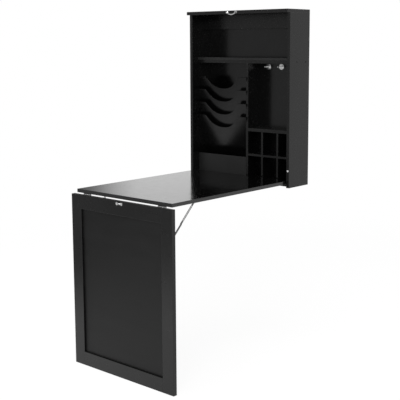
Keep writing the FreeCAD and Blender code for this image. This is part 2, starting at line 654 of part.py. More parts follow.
def cubby_divider(name, place_in_bay):
    """A cubby divider, slotted from the back to the middle for the cross shelf."""
    height = f"({LOWER_SHELF_LOW} - {BOTTOM_FACE})"
    body = board(f"cubby_divider_{name}", "dims.cubby_board", FITTING_DEPTH, height,
                 f"{DIVIDER_RIGHT} + {place_in_bay}", FITTING_FRONT, BOTTOM_FACE)
    sketch = sketch_on(body, "YZ_Plane")
    rectangle(sketch, f"{FITTING_DEPTH} / 2 - dims.joint_ease",
              "dims.cross_shelf_up - dims.board - dims.joint_ease",
              f"({FITTING_DEPTH} / 2 + dims.joint_ease)", "dims.cubby_board + 2 * dims.joint_ease")
    pocket(sketch, "dims.cubby_board", True)
    return body


def letter_tier(name, step):
    """A leaning board whose upper edge dips in a scoop, so that the letters behind it show."""
    body = new_body(name)
    width = f"({RACK_WIDTH} + 2 * (dims.groove_depth - dims.joint_ease))"
    shoulder, floor = "dims.tier_length", "(dims.tier_length - dims.scoop_depth)"
    sketch = sketch_on(body, "XZ_Plane")
    outline(sketch, [("0", "0"), (width, "0"), (width, shoulder),
                     (f"({width} + dims.scoop_width) / 2", shoulder),
                     (f"({width} + dims.scoop_floor) / 2", floor),
                     (f"({width} - dims.scoop_floor) / 2", floor),
                     (f"({width} - dims.scoop_width) / 2", shoulder), ("0", shoulder)])
    pad(sketch, "dims.tier_board", True)
    soften(body, "dims.scoop_corner", runs_at(2, amount(floor), along=1))
    soften(body, "dims.scoop_shoulder", shoulder_edges(width))
    lean_about_x(body, "dims.tier_lean")
    place(body, f"-{INNER_RIGHT} - dims.groove_depth + dims.joint_ease", TIER_FOOT_Y,
          f"{CASE_LOW} + {TIER_FOOT_UP} - {step} * dims.tier_pitch")
    return body


def shoulder_edges(width):
    """Picks the two edges where a tier's level shoulders turn down into its scoop."""
    middle, reach = amount(width) / 2, amount("dims.scoop_width") / 2
    at_top = runs_at(2, amount("dims.tier_length"), along=1)
    return lambda a, b: at_top(a, b) and math.isclose(abs(a.x - middle), reach, abs_tol=NEAR)


def pocket_floor_strips():
    """Three strips, each between two tiers, that close the letter pockets at the rear tier's foot."""
    strips = []
    for step in range(1, len(TIER_NAMES)):
        strip = doc.addObject("Part::Box", f"pocket_floor_{step}")
        lean_about_x(strip, "dims.tier_lean")
        strip.setExpression("Length", RACK_WIDTH)
        strip.setExpression("Width", f"dims.tier_pitch * {LEAN_SIN} - dims.tier_board")
        strip.setExpression("Height", "dims.pocket_floor_height")
        place(strip, f"-{INNER_RIGHT}",
              f"{TIER_BACK_Y} - dims.tier_pitch * {LEAN_COS} * {LEAN_SIN}",
              f"{CASE_LOW} + {TIER_FOOT_UP} - {step} * dims.tier_pitch"
              f" + dims.tier_board * {LEAN_SIN} + dims.tier_pitch * {LEAN_COS} ^ 2")
        strips.append(strip)
    return group("pocket_floor_strips", strips)


def rack_floor():
    """The floor behind the highest tier's foot, back to the back board."""
    front = f"({TIER_BACK_Y} + dims.joint_ease)"
    return board("rack_floor", RACK_WIDTH, f"({BACK_FACE} - {front})", "dims.rack_floor_board",
                 f"-{INNER_RIGHT}", front, f"{CASE_LOW} + {TIER_FOOT_UP} + dims.tier_board * {LEAN_SIN}")


def rack_apron():
    """The upright board on the bottom board, before the lowest tier's foot. They make the lowest pocket."""
    return board("rack_apron", RACK_WIDTH, "dims.apron_board", "dims.apron_height",
                 f"-{INNER_RIGHT}", f"{FRONT} + dims.apron_setback", BOTTOM_FACE)


def coat_hook_places():
    """Where the three coat hooks stand along the wall, from the centre line."""
    middle = f"(({DIVIDER_RIGHT} + {INNER_RIGHT}) / 2)"
    return [f"({middle} + {step} * dims.coat_hook_pitch)" for step in (-1, 0, 1)]


def coat_hooks():
    """Three turned hooks: a stud in the back board, a round plate with a boss, a peg and a ball."""
    hooks = []
    height = f"{MAIN_SHELF_LOW} - dims.coat_hook_drop"
    for number, x in enumerate(coat_hook_places()):
        label = f"coat_hook_{number}"
        plate_y = f"{BACK_FACE} - dims.coat_hook_plate_height"
        boss_y = f"{plate_y} - dims.coat_hook_dome_height"
        peg_length = "dims.coat_hook_peg + dims.coat_hook_plate_height + dims.coat_hook_stud"
        plate = rod(f"{label}_plate", "dims.coat_hook_plate", "dims.coat_hook_plate_height",
                    x, plate_y, height, "Y")
        boss = rod(f"{label}_boss", "dims.coat_hook_dome", "dims.coat_hook_dome_height",
                   x, boss_y, height, "Y")
        peg = rod(f"{label}_peg", "dims.coat_hook_neck", peg_length,
                  x, f"{plate_y} - dims.coat_hook_peg", height, "Y")
        ball = doc.addObject("Part::Sphere", f"{label}_ball")
        ball.setExpression("Radius", "dims.coat_hook_ball")
        place(ball, x, f"{plate_y} - dims.coat_hook_peg", height)
        hooks.append(joined(label, [plate, boss, peg, ball]))
    return group("coat_hooks", hooks)


# ---------------------------------------------------------------- latch, bumper and desk pivots


def latch_washer():
    disc = rod("latch_washer_disc", "dims.latch_washer", "dims.latch_washer_height",
               LATCH_X, f"{TOP_FRONT} - dims.latch_washer_height", LATCH_Z, "Y")
    bore = rod("latch_washer_bore", "dims.latch_screw + dims.seat_gap", "dims.latch_washer_height",
               LATCH_X, f"{TOP_FRONT} - dims.latch_washer_height", LATCH_Z, "Y")
    return bored("latch_washer", disc, [bore])


def latch_screw():
    """The screw that the latch hook turns on."""
    head_y = f"{HOOK_Y} - dims.latch_gap"
    head = rod("latch_screw_cap", "dims.latch_screw_head", "dims.screw_head_height",
               LATCH_X, f"{head_y} - dims.screw_head_height", LATCH_Z, "Y")
    shank = rod("latch_screw_shank", "dims.latch_screw", f"{TOP_FRONT} - ({head_y}) + dims.latch_screw_grip",
                LATCH_X, head_y, LATCH_Z, "Y")
    return joined("latch_screw", [head, shank])


def latch_hook():
    """A crescent arm between an eye and a head, whose notch drops over the keeper's stud."""
    radius = "(((dims.latch_reach / 2) ^ 2 + dims.latch_sag ^ 2) / (2 * dims.latch_sag))"
    centre_x = f"{LATCH_X} + dims.latch_reach / 2"
    centre_z = f"{LATCH_Z} + {radius} - dims.latch_sag"
    metal, arm = "dims.latch_metal", "dims.latch_arm / 2"
    disc = rod("latch_arc_outer", f"{radius} + {arm}", metal, centre_x, HOOK_Y, centre_z, "Y")
    hollow = rod("latch_arc_inner", f"{radius} - {arm}", metal, centre_x, HOOK_Y, centre_z, "Y")
    ring = bored("latch_arc", disc, [hollow])
    below = slab("latch_chord", "dims.latch_reach", metal, "dims.latch_sag + dims.latch_arm",
                 LATCH_X, HOOK_Y, f"{LATCH_Z} - dims.latch_sag - dims.latch_arm")
    crescent = doc.addObject("Part::MultiCommon", "latch_crescent")
    crescent.Shapes = [ring, below]
    notch_x = f"{LATCH_X} + dims.latch_reach"
    eye = rod("latch_eye_disc", "dims.latch_eye", metal, LATCH_X, HOOK_Y, LATCH_Z, "Y")
    head = rod("latch_head_disc", "dims.latch_head", metal, notch_x, HOOK_Y, LATCH_Z, "Y")
    blank = joined("latch_blank", [crescent, eye, head])
    notch = "(dims.keeper_stud + dims.keeper_stud_ease)"
    bore = rod("latch_bore", "dims.latch_screw + dims.running_gap", metal, LATCH_X, HOOK_Y, LATCH_Z, "Y")
    seat = rod("latch_notch_seat", notch, metal, notch_x, HOOK_Y, LATCH_Z, "Y")
    slot = slab("latch_notch_slot", f"2 * {notch}", metal, "2 * dims.latch_head",
                f"{notch_x} - {notch}", HOOK_Y, f"{LATCH_Z} - 2 * dims.latch_head")
    return bored("latch_hook", blank, [bore, seat, slot])


def bumper():
    """The dot that the shut leg panel comes to rest by."""
    return rod("bumper", "dims.bumper_radius", "dims.bumper_height", f"{INNER_RIGHT} + dims.board / 2",
               f"{FRONT} - dims.bumper_height", f"{CASE_LOW} + dims.bumper_up", "Y")


def pivot_bushes():
    """Two flanged bushes, let into the sides, that the desk board's pins turn in."""
    bushes = []
    for name, side in SIDES:
        label = f"pivot_bush_{name}"
        sleeve = rod(f"{label}_sleeve", "dims.bush_radius", "dims.bush_length",
                     mirrored(side, INNER_RIGHT, "dims.bush_length"), Q_Y, Q_Z, "X")
        flange_x = mirrored(side, f"{INNER_RIGHT} - dims.bush_flange_board", "dims.bush_flange_board")
        flange = rod(f"{label}_flange", "dims.bush_flange", "dims.bush_flange_board", flange_x, Q_Y, Q_Z, "X")
        whole = "dims.bush_length + dims.bush_flange_board"
        bore = rod(f"{label}_bore", "dims.pivot_radius + dims.running_gap", whole,
                   mirrored(side, f"{INNER_RIGHT} - dims.bush_flange_board", whole), Q_Y, Q_Z, "X")
        bushes.append(bored(label, joined(f"{label}_blank", [sleeve, flange]), [bore]))
    return group("pivot_bushes", bushes)


def desk_pivot_pins():
    pins = []
    length = "dims.pivot_grip + dims.desk_side_gap + dims.bush_length"
    for name, side in SIDES:
        x = mirrored(side, f"{DESK_WIDTH} / 2 - dims.pivot_grip", length)
        pins.append(rod(f"desk_pivot_pin_{name}", "dims.pivot_radius", length, x, Q_Y, Q_Z, "X"))
    return group("desk_pivot_pins", pins)


# ---------------------------------------------------------------- desk board and leg hinges


def hinge_screw_places():
    """The leg hinges' screws along the wall, two to a leaf."""
    return [mirrored(side, f"{HINGE_X} + {step} * dims.hinge_screw_pitch / 2")
            for name, side in SIDES for step in (-1, 1)]


def desk_top():
    """The desk board, bored for its pivot pins, and below for the hinges' and stays' screws."""
    body = board("desk_top", DESK_WIDTH, f"({DESK_REACH} + dims.desk_tail)", "dims.desk_board",
                 f"-{DESK_WIDTH} / 2", DESK_FRONT, DESK_UNDERSIDE)
    pivot, grip = [(DESK_REACH, "dims.desk_board / 2")], "dims.pivot_grip + dims.seat_gap"
    drill(body, "YZ_Plane", "0", pivot, "dims.pivot_radius + dims.seat_gap", grip, True)
    drill(body, "YZ_Plane", DESK_WIDTH, pivot, "dims.pivot_radius + dims.seat_gap", grip)
    spots = [(f"{DESK_WIDTH} / 2 + {x}", "dims.hinge_offset + dims.hinge_screw_out")
             for x in hinge_screw_places()]
    for name, side in SIDES:
        for step in (-1, 1):
            spots.append((f"{DESK_WIDTH} / 2 + {mirrored(side, DESK_FOOT_SCREW_X)}",
                          f"dims.hinge_offset + dims.stay_arm + {step} * dims.stay_screw_pitch / 2"))
    drill(body, "XY_Plane", "0", spots, SCREW_HOLE, "dims.screw_length", True)
    high, low = runs_at(2, amount("dims.desk_board")), runs_at(2, 0)
    soften(body, "dims.edge_round", lambda a, b: high(a, b) or low(a, b))
    return body


def hinge_leaf(label, side, knuckles, tab, plate):
    """A hinge leaf: a flat plate, and a tab that joins it to each of its knuckles."""
    start = mirrored(side, f"{HINGE_X} - dims.hinge_length / 2", "dims.hinge_length")
    pieces = [slab(f"{label}_plate", "dims.hinge_length", *plate[0], start, *plate[1])]
    for number, (offset, length) in enumerate(knuckles):
        x = f"{start} + {offset}"
        pieces.append(rod(f"{label}_knuckle_{number}", "dims.hinge_barrel", length, x, P_Y, P_Z, "X"))
        pieces.append(slab(f"{label}_tab_{number}", length, *tab[0], x, *tab[1]))
    bore = rod(f"{label}_bore", "dims.hinge_pin + dims.running_gap", "dims.hinge_length",
               start, P_Y, P_Z, "X")
    return joined(f"{label}_blank", pieces), bore


def desk_hinge_leaves():
    """The leaves under the desk board, each with the two outer knuckles."""
    leaves = []
    far = "dims.hinge_length - dims.knuckle_length"
    knuckles = [("0", "dims.knuckle_length"), (far, "dims.knuckle_length")]
    low = f"{DESK_UNDERSIDE} - dims.hinge_leaf"
    tab = (("dims.hinge_offset", "dims.hinge_leaf"), (P_Y, low))
    reach = "dims.hinge_leaf_width - dims.hinge_offset"
    plate = ((reach, "dims.hinge_leaf"), (f"{P_Y} + dims.hinge_offset", low))
    for name, side in SIDES:
        label = f"desk_hinge_leaf_{name}"
        blank, bore = hinge_leaf(label, side, knuckles, tab, plate)
        holes = [bore]
        for step in (-1, 1):
            x = mirrored(side, f"{HINGE_X} + {step} * dims.hinge_screw_pitch / 2")
            holes.append(rod(f"{label}_hole_{step + 1}", SCREW_HOLE, "dims.hinge_leaf",
                             x, f"{P_Y} + dims.hinge_screw_out", low, "Z"))
        leaves.append(bored(label, blank, holes))
    return group("desk_hinge_leaves", leaves)


def leg_hinge_leaves():
    """The leaves on the leg panel's inner face, each with the middle knuckle."""
    leaves = []
    skip = "(dims.knuckle_length + dims.knuckle_gap)"
    knuckles = [(skip, f"dims.hinge_length - 2 * {skip}")]
    tab = (("dims.hinge_leaf", "dims.hinge_offset"), (DESK_FRONT, f"{P_Z} - dims.hinge_offset"))
    plate = (("dims.hinge_leaf", "dims.hinge_leaf_width - dims.hinge_offset"),
             (DESK_FRONT, f"{P_Z} - dims.hinge_leaf_width"))
    for name, side in SIDES:
        label = f"leg_hinge_leaf_{name}"
        blank, bore = hinge_leaf(label, side, knuckles, tab, plate)
        holes = [bore]
        for step in (-1, 1):
            x = mirrored(side, f"{HINGE_X} + {step} * dims.hinge_screw_pitch / 2")
            holes.append(rod(f"{label}_hole_{step + 1}", SCREW_HOLE, "dims.hinge_leaf",
                             x, DESK_FRONT, f"{P_Z} - dims.hinge_screw_out", "Y"))
        leaves.append(bored(label, blank, holes))
    return group("leg_hinge_leaves", leaves)


def hinge_pins():
    """The leg hinges' pins, each with a button at both ends."""
    pins = []
    for name, side in SIDES:
        start = mirrored(side, f"{HINGE_X} - dims.hinge_length / 2", "dims.hinge_length")
        shank = rod(f"hinge_pin_{name}_shank", "dims.hinge_pin", "dims.hinge_length", start, P_Y, P_Z, "X")
        pieces = [shank]
        for end, x in enumerate((f"{start} - dims.hinge_pin_button_length", f"{start} + dims.hinge_length")):
            pieces.append(rod(f"hinge_pin_{name}_button_{end}", "dims.hinge_pin_button",
                              "dims.hinge_pin_button_length", x, P_Y, P_Z, "X"))
        pins.append(joined(f"hinge_pin_{name}", pieces))
    return group("hinge_pins", pins)


def desk_hinge_screws():
    return group("desk_hinge_screws", [
        pan_screw(f"desk_hinge_screw_{number}", x, f"{P_Y} + dims.hinge_screw_out",
                  DESK_UNDERSIDE, "up", "dims.hinge_leaf")
        for number, x in enumerate(hinge_screw_places())])


def leg_hinge_screws():
    return group("leg_hinge_screws", [
        pan_screw(f"leg_hinge_screw_{number}", x, DESK_FRONT,
                  f"{P_Z} - dims.hinge_screw_out", "forward", "dims.hinge_leaf")
        for number, x in enumerate(hinge_screw_places())])


# ---------------------------------------------------------------- leg panel


def leg_stile(name, side):
    """An upright of the leg frame, grooved along its inner edge for the rails and the chalkboard."""
    left = mirrored(side, f"{OPENING_WIDTH} / 2", "dims.frame_width")
    body = board(f"leg_stile_{name}", "dims.frame_width", "dims.leg_board", P_Z, left, LEG_OUTER, "0")
    groove_x = "0" if side > 0 else "dims.frame_width - dims.frame_groove"
    sketch = sketch_on(body, "XY_Plane")
    rectangle(sketch, groove_x, "dims.chalk_recess - dims.joint_ease", "dims.frame_groove",
              "dims.chalk_board + 2 * dims.joint_ease")
    pocket(sketch, P_Z, True)
    screw_x = f"{mirrored(side, LEG_FOOT_SCREW_X)} - {left}"
    spots = [(screw_x, f"{LOWER_PIVOT_Z} + {step} * dims.stay_screw_pitch / 2") for step in (-1, 1)]
    drill(body, "XZ_Plane", "-dims.leg_board", spots, SCREW_HOLE,
          "dims.screw_length", True)
    outer = amount("dims.frame_width") if side > 0 else 0
    at_side = runs_at(0, outer, along=2)
    at_inner_front = runs_at(0, amount("dims.frame_width") - outer, along=2)
    soften(body, "dims.edge_round",
           lambda a, b: at_side(a, b) or (at_inner_front(a, b) and math.isclose(a.y, 0, abs_tol=NEAR)))
    return body


def leg_rail(name, low):
    """A rail of the leg frame, its ends tongued for the stiles and its inner edge grooved."""
    body = new_body(f"leg_rail_{name}")
    tongue = "(dims.frame_groove - dims.joint_ease)"
    full = sketch_on(body, "XY_Plane")
    rectangle(full, tongue, "0", OPENING_WIDTH, "dims.leg_board")
    pad(full, "dims.frame_width")
    tongues = sketch_on(body, "XY_Plane")
    rectangle(tongues, "0", "dims.chalk_recess", f"{OPENING_WIDTH} + 2 * {tongue}", "dims.chalk_board")
    pad(tongues, "dims.frame_width")
    groove = sketch_on(body, "YZ_Plane")
    groove_z = "0" if name == "top" else "dims.frame_width - dims.frame_groove"
    rectangle(groove, "dims.chalk_recess - dims.joint_ease", groove_z,
              "dims.chalk_board + 2 * dims.joint_ease", "dims.frame_groove")
    pocket(groove, f"{OPENING_WIDTH} + 2 * {tongue}", True)
    place(body, f"-{OPENING_WIDTH} / 2 - {tongue}", LEG_OUTER, low)
    inner_z = 0 if name == "top" else amount("dims.frame_width")
    at_inner = runs_at(2, inner_z, along=0)
    soften(body, "dims.edge_round", lambda a, b: at_inner(a, b) and math.isclose(a.y, 0, abs_tol=NEAR))
    return body


def leg_rail_top():
    """The upper rail, bored behind for the hinges' screws and in front for the keeper's."""
    body = leg_rail("top", f"{P_Z} - dims.frame_width")
    middle = f"({OPENING_WIDTH} / 2 + dims.frame_groove - dims.joint_ease)"
    hinges = [(f"{middle} + {x}", "dims.frame_width - dims.hinge_screw_out") for x in hinge_screw_places()]
    drill(body, "XZ_Plane", "-dims.leg_board", hinges, SCREW_HOLE,
          "dims.screw_length", True)
    keeper = [(f"{middle} + {step} * dims.keeper_screw_pitch / 2", "dims.frame_width - dims.keeper_drop")
              for step in (-1, 1)]
    drill(body, "XZ_Plane", "0", keeper, SCREW_HOLE, "dims.screw_length")
    return body


def leg_rail_bottom():
    return leg_rail("bottom", "0")


def chalkboard_panel():
    """The thin board that floats in the frame's groove."""
    hidden = "(dims.frame_groove - dims.joint_ease)"
    return board("chalkboard_panel", f"({OPENING_WIDTH} + 2 * {hidden})", "dims.chalk_board",
                 f"({OPENING_HEIGHT} + 2 * {hidden})", f"-{OPENING_WIDTH} / 2 - {hidden}",
                 f"{LEG_OUTER} + dims.chalk_recess", f"dims.frame_width - {hidden}")


def keeper_screw(name, step):
    """A screw whose sunk head lies flush in the keeper plate."""
    x = f"{step} * dims.keeper_screw_pitch / 2"
    front = f"({LEG_OUTER} - dims.keeper_metal)"
    head = rod(f"{name}_head", "dims.keeper_screw_head", "dims.keeper_metal / 2", x, front, KEEPER_Z, "Y")
    shank = rod(f"{name}_shank", "dims.screw_radius", "dims.screw_length", x, front, KEEPER_Z, "Y")
    return joined(name, [head, shank])


def keeper_screws():
    return group("keeper_screws", [keeper_screw(f"keeper_screw_{name}", side) for name, side in SIDES])


def keeper_plate():
    """A plate of two round lobes with a capped stud between them, on the leg panel's outer face."""
    front = f"({LEG_OUTER} - dims.keeper_metal)"
    lobe_x = "(dims.keeper_length / 2 - dims.keeper_lobe)"
    pieces = [rod(f"keeper_lobe_{step + 1}", "dims.keeper_lobe", "dims.keeper_metal",
                  f"{step} * {lobe_x}", front, KEEPER_Z, "Y") for step in (-1, 1)]
    pieces.append(slab("keeper_waist_plate", f"2 * {lobe_x}", "dims.keeper_metal", "2 * dims.keeper_waist",
                       f"-{lobe_x}", front, f"{KEEPER_Z} - dims.keeper_waist"))
    cap_y = f"({LEG_OUTER} - dims.keeper_cap_off)"
    pieces.append(rod("keeper_stud_shank", "dims.keeper_stud", "dims.keeper_cap_off",
                      "0", cap_y, KEEPER_Z, "Y"))
    pieces.append(rod("keeper_stud_cap", "dims.keeper_cap", "dims.keeper_cap_height",
                      "0", f"{cap_y} - dims.keeper_cap_height", KEEPER_Z, "Y"))
    holes = []
    for step in (-1, 1):
        x = f"{step} * dims.keeper_screw_pitch / 2"
        holes.append(rod(f"keeper_hole_{step + 1}", SCREW_HOLE, "dims.keeper_metal",
                         x, front, KEEPER_Z, "Y"))
        holes.append(rod(f"keeper_sink_{step + 1}", "dims.keeper_screw_head + dims.seat_gap",
                         "dims.keeper_metal / 2", x, front, KEEPER_Z, "Y"))
    return bored("keeper_plate", joined("keeper_blank", pieces), holes)


# ---------------------------------------------------------------- folding stays


def stay_bracket(label, side, ear_x, pivot, web, foot):
    """A bent bracket: an ear round the pivot, a web down to the panel, and a foot screwed flat on it."""
    ear_left = mirrored(side, ear_x, "dims.stay_bar")
    ear = rod(f"{label}_ear", "dims.stay_ear", "dims.stay_bar", ear_left, *pivot, "X")
    web_piece = slab(f"{label}_web", "dims.stay_bar", *web[0], ear_left, *web[1])
    foot_piece = slab(f"{label}_foot", "dims.stay_foot_wide", *foot[0],
                      mirrored(side, foot[1], "dims.stay_foot_wide"), *foot[2])
    bore = rod(f"{label}_bore", "dims.stay_rivet + dims.seat_gap", "dims.stay_bar", ear_left, *pivot, "X")
    return joined(f"{label}_blank", [ear, web_piece, foot_piece]), bore


def stay_desk_brackets():
    brackets = []
    low = f"{DESK_UNDERSIDE} - dims.stay_bar"
    web = (("2 * dims.stay_ear", "dims.hinge_offset"), (f"{UPPER_PIVOT_Y} - dims.stay_ear", P_Z))
    foot = (("dims.stay_foot_long", "dims.stay_bar"), DESK_FOOT_X,
            (f"{UPPER_PIVOT_Y} - dims.stay_foot_long / 2", low))
    for name, side in SIDES:
        label = f"stay_desk_bracket_{name}"
        blank, bore = stay_bracket(label, side, DESK_EAR_X, (UPPER_PIVOT_Y, P_Z), web, foot)
        holes = [rod(f"{label}_hole_{step + 1}", SCREW_HOLE, "dims.stay_bar",
                     mirrored(side, DESK_FOOT_SCREW_X), f"{UPPER_PIVOT_Y} + {step} * dims.stay_screw_pitch / 2",
                     low, "Z") for step in (-1, 1)]
        brackets.append(bored(label, blank, [bore] + holes))
    return group("stay_desk_brackets", brackets)


def stay_leg_brackets():
    brackets = []
    web = (("dims.hinge_offset", "2 * dims.stay_ear"), (DESK_FRONT, f"{LOWER_PIVOT_Z} - dims.stay_ear"))
    foot = (("dims.stay_bar", "dims.stay_foot_long"), LEG_EAR_X,
            (DESK_FRONT, f"{LOWER_PIVOT_Z} - dims.stay_foot_long / 2"))
    for name, side in SIDES:
        label = f"stay_leg_bracket_{name}"
        blank, bore = stay_bracket(label, side, LEG_EAR_X, (P_Y, LOWER_PIVOT_Z), web, foot)
        holes = [rod(f"{label}_hole_{step + 1}", SCREW_HOLE, "dims.stay_bar",
                     mirrored(side, LEG_FOOT_SCREW_X), DESK_FRONT,
                     f"{LOWER_PIVOT_Z} + {step} * dims.stay_screw_pitch / 2", "Y") for step in (-1, 1)]
        brackets.append(bored(label, blank, [bore] + holes))
    return group("stay_leg_brackets", brackets)


def stay_screw_sets():
    """The screws of the stays' feet, under the desk board and on the leg panel."""
    desk, leg = [], []
    for name, side in SIDES:
        for step in (-1, 1):
            off = f"{step} * dims.stay_screw_pitch / 2"
            desk.append(pan_screw(f"stay_desk_screw_{name}_{step + 1}", mirrored(side, DESK_FOOT_SCREW_X),
                                  f"{UPPER_PIVOT_Y} + {off}", DESK_UNDERSIDE, "up", "dims.stay_bar"))
            leg.append(pan_screw(f"stay_leg_screw_{name}_{step + 1}", mirrored(side, LEG_FOOT_SCREW_X),
                                 DESK_FRONT, f"{LOWER_PIVOT_Z} + {off}", "forward", "dims.stay_bar"))
    return [group("stay_desk_screws", desk), group("stay_leg_screws", leg)]


def stay_arm(label, side, arm_x, toward_desk):
    """A flat arm from its bracket's pivot to the knuckle. The upper arm has a long slot."""
    left = mirrored(side, arm_x, "dims.stay_bar")
    body = new_body(label)
    sketch = sketch_on(body, "YZ_Plane")
    half = "dims.stay_width / 2"
    rectangle(sketch, f"-{half}", "0", "dims.stay_width", STAY_LINK)
    pad(sketch, "dims.stay_bar")
    for height in ("0", STAY_LINK):
        end = sketch_on(body, "YZ_Plane")
        circle(end, "0", height, half)
        pad(end, "dims.stay_bar")
    drill(body, "YZ_Plane", "0", [("0", "0"), ("0", STAY_LINK)],
          "dims.stay_rivet + dims.running_gap", "dims.stay_bar", True)
    if toward_desk:
        slot = sketch_on(body, "YZ_Plane")
        rectangle(slot, "-dims.stay_slot / 2", "dims.stay_slot_margin", "dims.stay_slot",
                  f"({STAY_LINK} - 2 * dims.stay_slot_margin)")
        pocket(slot, "dims.stay_bar", True)
    pivot = (UPPER_PIVOT_Y, P_Z) if toward_desk else (P_Y, LOWER_PIVOT_Z)
    lean_about_x(body, UPPER_ARM_TURN if toward_desk else LOWER_ARM_TURN)
    place(body, left, *pivot)
    return body


def stay_rivet(name, side, ear_x, arm_x, head_out, pivot):
    """A rivet through a bracket's ear and its arm, headed on the ear's free side."""
    low = arm_x if head_out else ear_x
    length = "(2 * dims.stay_bar + dims.stay_gap)"
    shank = rod(f"{name}_shank", "dims.stay_rivet", length, mirrored(side, low, length), *pivot, "X")
    head_x = f"{ear_x} + dims.stay_bar" if head_out else f"{ear_x} - dims.stay_rivet_head_height"
    head = rod(f"{name}_head", "dims.stay_rivet_head", "dims.stay_rivet_head_height",
               mirrored(side, head_x, "dims.stay_rivet_head_height"), *pivot, "X")
    return joined(name, [shank, head])


def stay_rivets():
    desk = [stay_rivet(f"stay_desk_rivet_{name}", side, DESK_EAR_X, UPPER_ARM_X, False, (UPPER_PIVOT_Y, P_Z))
            for name, side in SIDES]
    leg = [stay_rivet(f"stay_leg_rivet_{name}", side, LEG_EAR_X, LOWER_ARM_X, True, (P_Y, LOWER_PIVOT_Z))
           for name, side in SIDES]
    return [group("stay_desk_rivets", desk), group("stay_leg_rivets", leg)]


def knuckle_half(label, side, arm_x, head_out):
    """Half of a stay's knuckle rivet: a shank in one arm and a head on that arm's free side."""
    place_y, place_z = f"({P_Y} + dims.stay_arm / 2)", f"({P_Z} - dims.stay_arm / 2)"
    shank = rod(f"{label}_shank", "dims.stay_rivet", "dims.stay_bar",
                mirrored(side, arm_x, "dims.stay_bar"), place_y, place_z, "X")
    head_x = f"{arm_x} + dims.stay_bar" if head_out else f"{arm_x} - dims.stay_rivet_head_height"
    head = rod(f"{label}_head", "dims.stay_rivet_head", "dims.stay_rivet_head_height",
               mirrored(side, head_x, "dims.stay_rivet_head_height"), place_y, place_z, "X")
    return joined(label, [shank, head])


# ---------------------------------------------------------------- the whole desk


def build_case():
    nodes = [side_panel(name, side) for name, side in SIDES]
    nodes += [top_panel(), bottom_panel(), back_panel(), hanging_rail(), case_dowels(), shelf_screws()]
    nodes += [main_shelf(), shelf_lip(), centre_divider(), lower_shelf(), cubby_cross_shelf()]
    nodes += [cubby_divider(name, spot) for name, spot in zip(("left", "right"), cubby_places())]
    nodes += [letter_tier(name, step) for step, name in enumerate(TIER_NAMES)]
    nodes += [pocket_floor_strips(), rack_floor(), rack_apron(), coat_hooks()]
    nodes += [latch_washer(), latch_screw(), latch_hook(), bumper(), pivot_bushes()]
    return nodes


def build_desk_and_leg():
    nodes = [desk_pivot_pins(), desk_top(), desk_hinge_leaves(), leg_hinge_leaves(), hinge_pins()]
    nodes += [desk_hinge_screws(), leg_hinge_screws()]
    nodes += [leg_stile(name, side) for name, side in SIDES]
    nodes += [leg_rail_top(), leg_rail_bottom(), chalkboard_panel(), keeper_plate(), keeper_screws()]
    return nodes


def build_stays():
    nodes = [stay_desk_brackets(), stay_leg_brackets()] + stay_screw_sets() + stay_rivets()
    for name, side in SIDES:
        nodes.append(stay_arm(f"stay_upper_arm_{name}", side, UPPER_ARM_X, True))
        nodes.append(stay_arm(f"stay_lower_arm_{name}", side, LOWER_ARM_X, False))
        nodes.append(knuckle_half(f"knuckle_upper_{name}", side, UPPER_ARM_X, False))
        nodes.append(knuckle_half(f"knuckle_lower_{name}", side, LOWER_ARM_X, True))
    return nodes


def write_nodes(nodes):
    """Refuses a broken object, then writes each node to a file of its own."""
    doc.recompute()
    for item in doc.Objects:
        if "Invalid" in item.State or "Error" in item.State:
            raise RuntimeError(f"{item.Label}: {item.State}")
    os.makedirs("parts", exist_ok=True)
    for node in nodes:
        if node.Shape.isNull() or not node.Shape.isValid() or not node.Shape.Solids:
            raise RuntimeError(f"{node.Label} has no sound solid")
        node.Shape.exportStep(f"parts/{node.Label}.step")


fill_sheet()
write_nodes(build_case() + build_desk_and_leg() + build_stays())
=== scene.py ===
import math
import bmesh
import bpy
from mathutils import Matrix, Vector


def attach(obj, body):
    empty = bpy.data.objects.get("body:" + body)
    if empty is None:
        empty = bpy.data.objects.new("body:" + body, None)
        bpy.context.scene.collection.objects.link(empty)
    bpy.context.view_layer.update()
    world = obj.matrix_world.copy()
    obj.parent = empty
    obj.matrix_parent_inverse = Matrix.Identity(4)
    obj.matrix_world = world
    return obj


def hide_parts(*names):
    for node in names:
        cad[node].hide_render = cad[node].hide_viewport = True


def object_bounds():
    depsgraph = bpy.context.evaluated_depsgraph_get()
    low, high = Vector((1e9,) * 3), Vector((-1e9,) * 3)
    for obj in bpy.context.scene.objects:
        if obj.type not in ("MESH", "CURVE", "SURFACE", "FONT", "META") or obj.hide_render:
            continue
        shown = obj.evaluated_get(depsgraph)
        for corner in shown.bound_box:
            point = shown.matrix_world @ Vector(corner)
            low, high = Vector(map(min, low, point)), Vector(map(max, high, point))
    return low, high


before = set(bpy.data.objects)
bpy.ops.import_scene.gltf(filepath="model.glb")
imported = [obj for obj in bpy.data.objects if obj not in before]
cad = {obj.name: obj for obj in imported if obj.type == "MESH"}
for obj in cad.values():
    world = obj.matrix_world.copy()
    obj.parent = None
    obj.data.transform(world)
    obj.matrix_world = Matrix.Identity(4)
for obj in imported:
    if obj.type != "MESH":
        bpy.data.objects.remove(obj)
cad_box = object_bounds()

# ---------------------------------------------------------------- the room
# A pale floor under the leg panel, a white surround, and large soft lamps above and before the desk.
# What polished metal and paint show of the surround dims towards the room's left and front.


def tree_of(thing):
    """Turns on a material's or a world's nodes, and returns its tree emptied."""
    thing.use_nodes = True
    thing.node_tree.nodes.clear()
    return thing.node_tree


def add_node(tree, kind, inputs=None, **settings):
    """Adds a node. Its inputs are plain values, or output sockets to link from."""
    node = tree.nodes.new(kind)
    for name, value in settings.items():
        setattr(node, name, value)
    for name, value in (inputs or {}).items():
        if isinstance(value, bpy.types.NodeSocket):
            tree.links.new(value, node.inputs[name])
        else:
            node.inputs[name].default_value = value
    return node


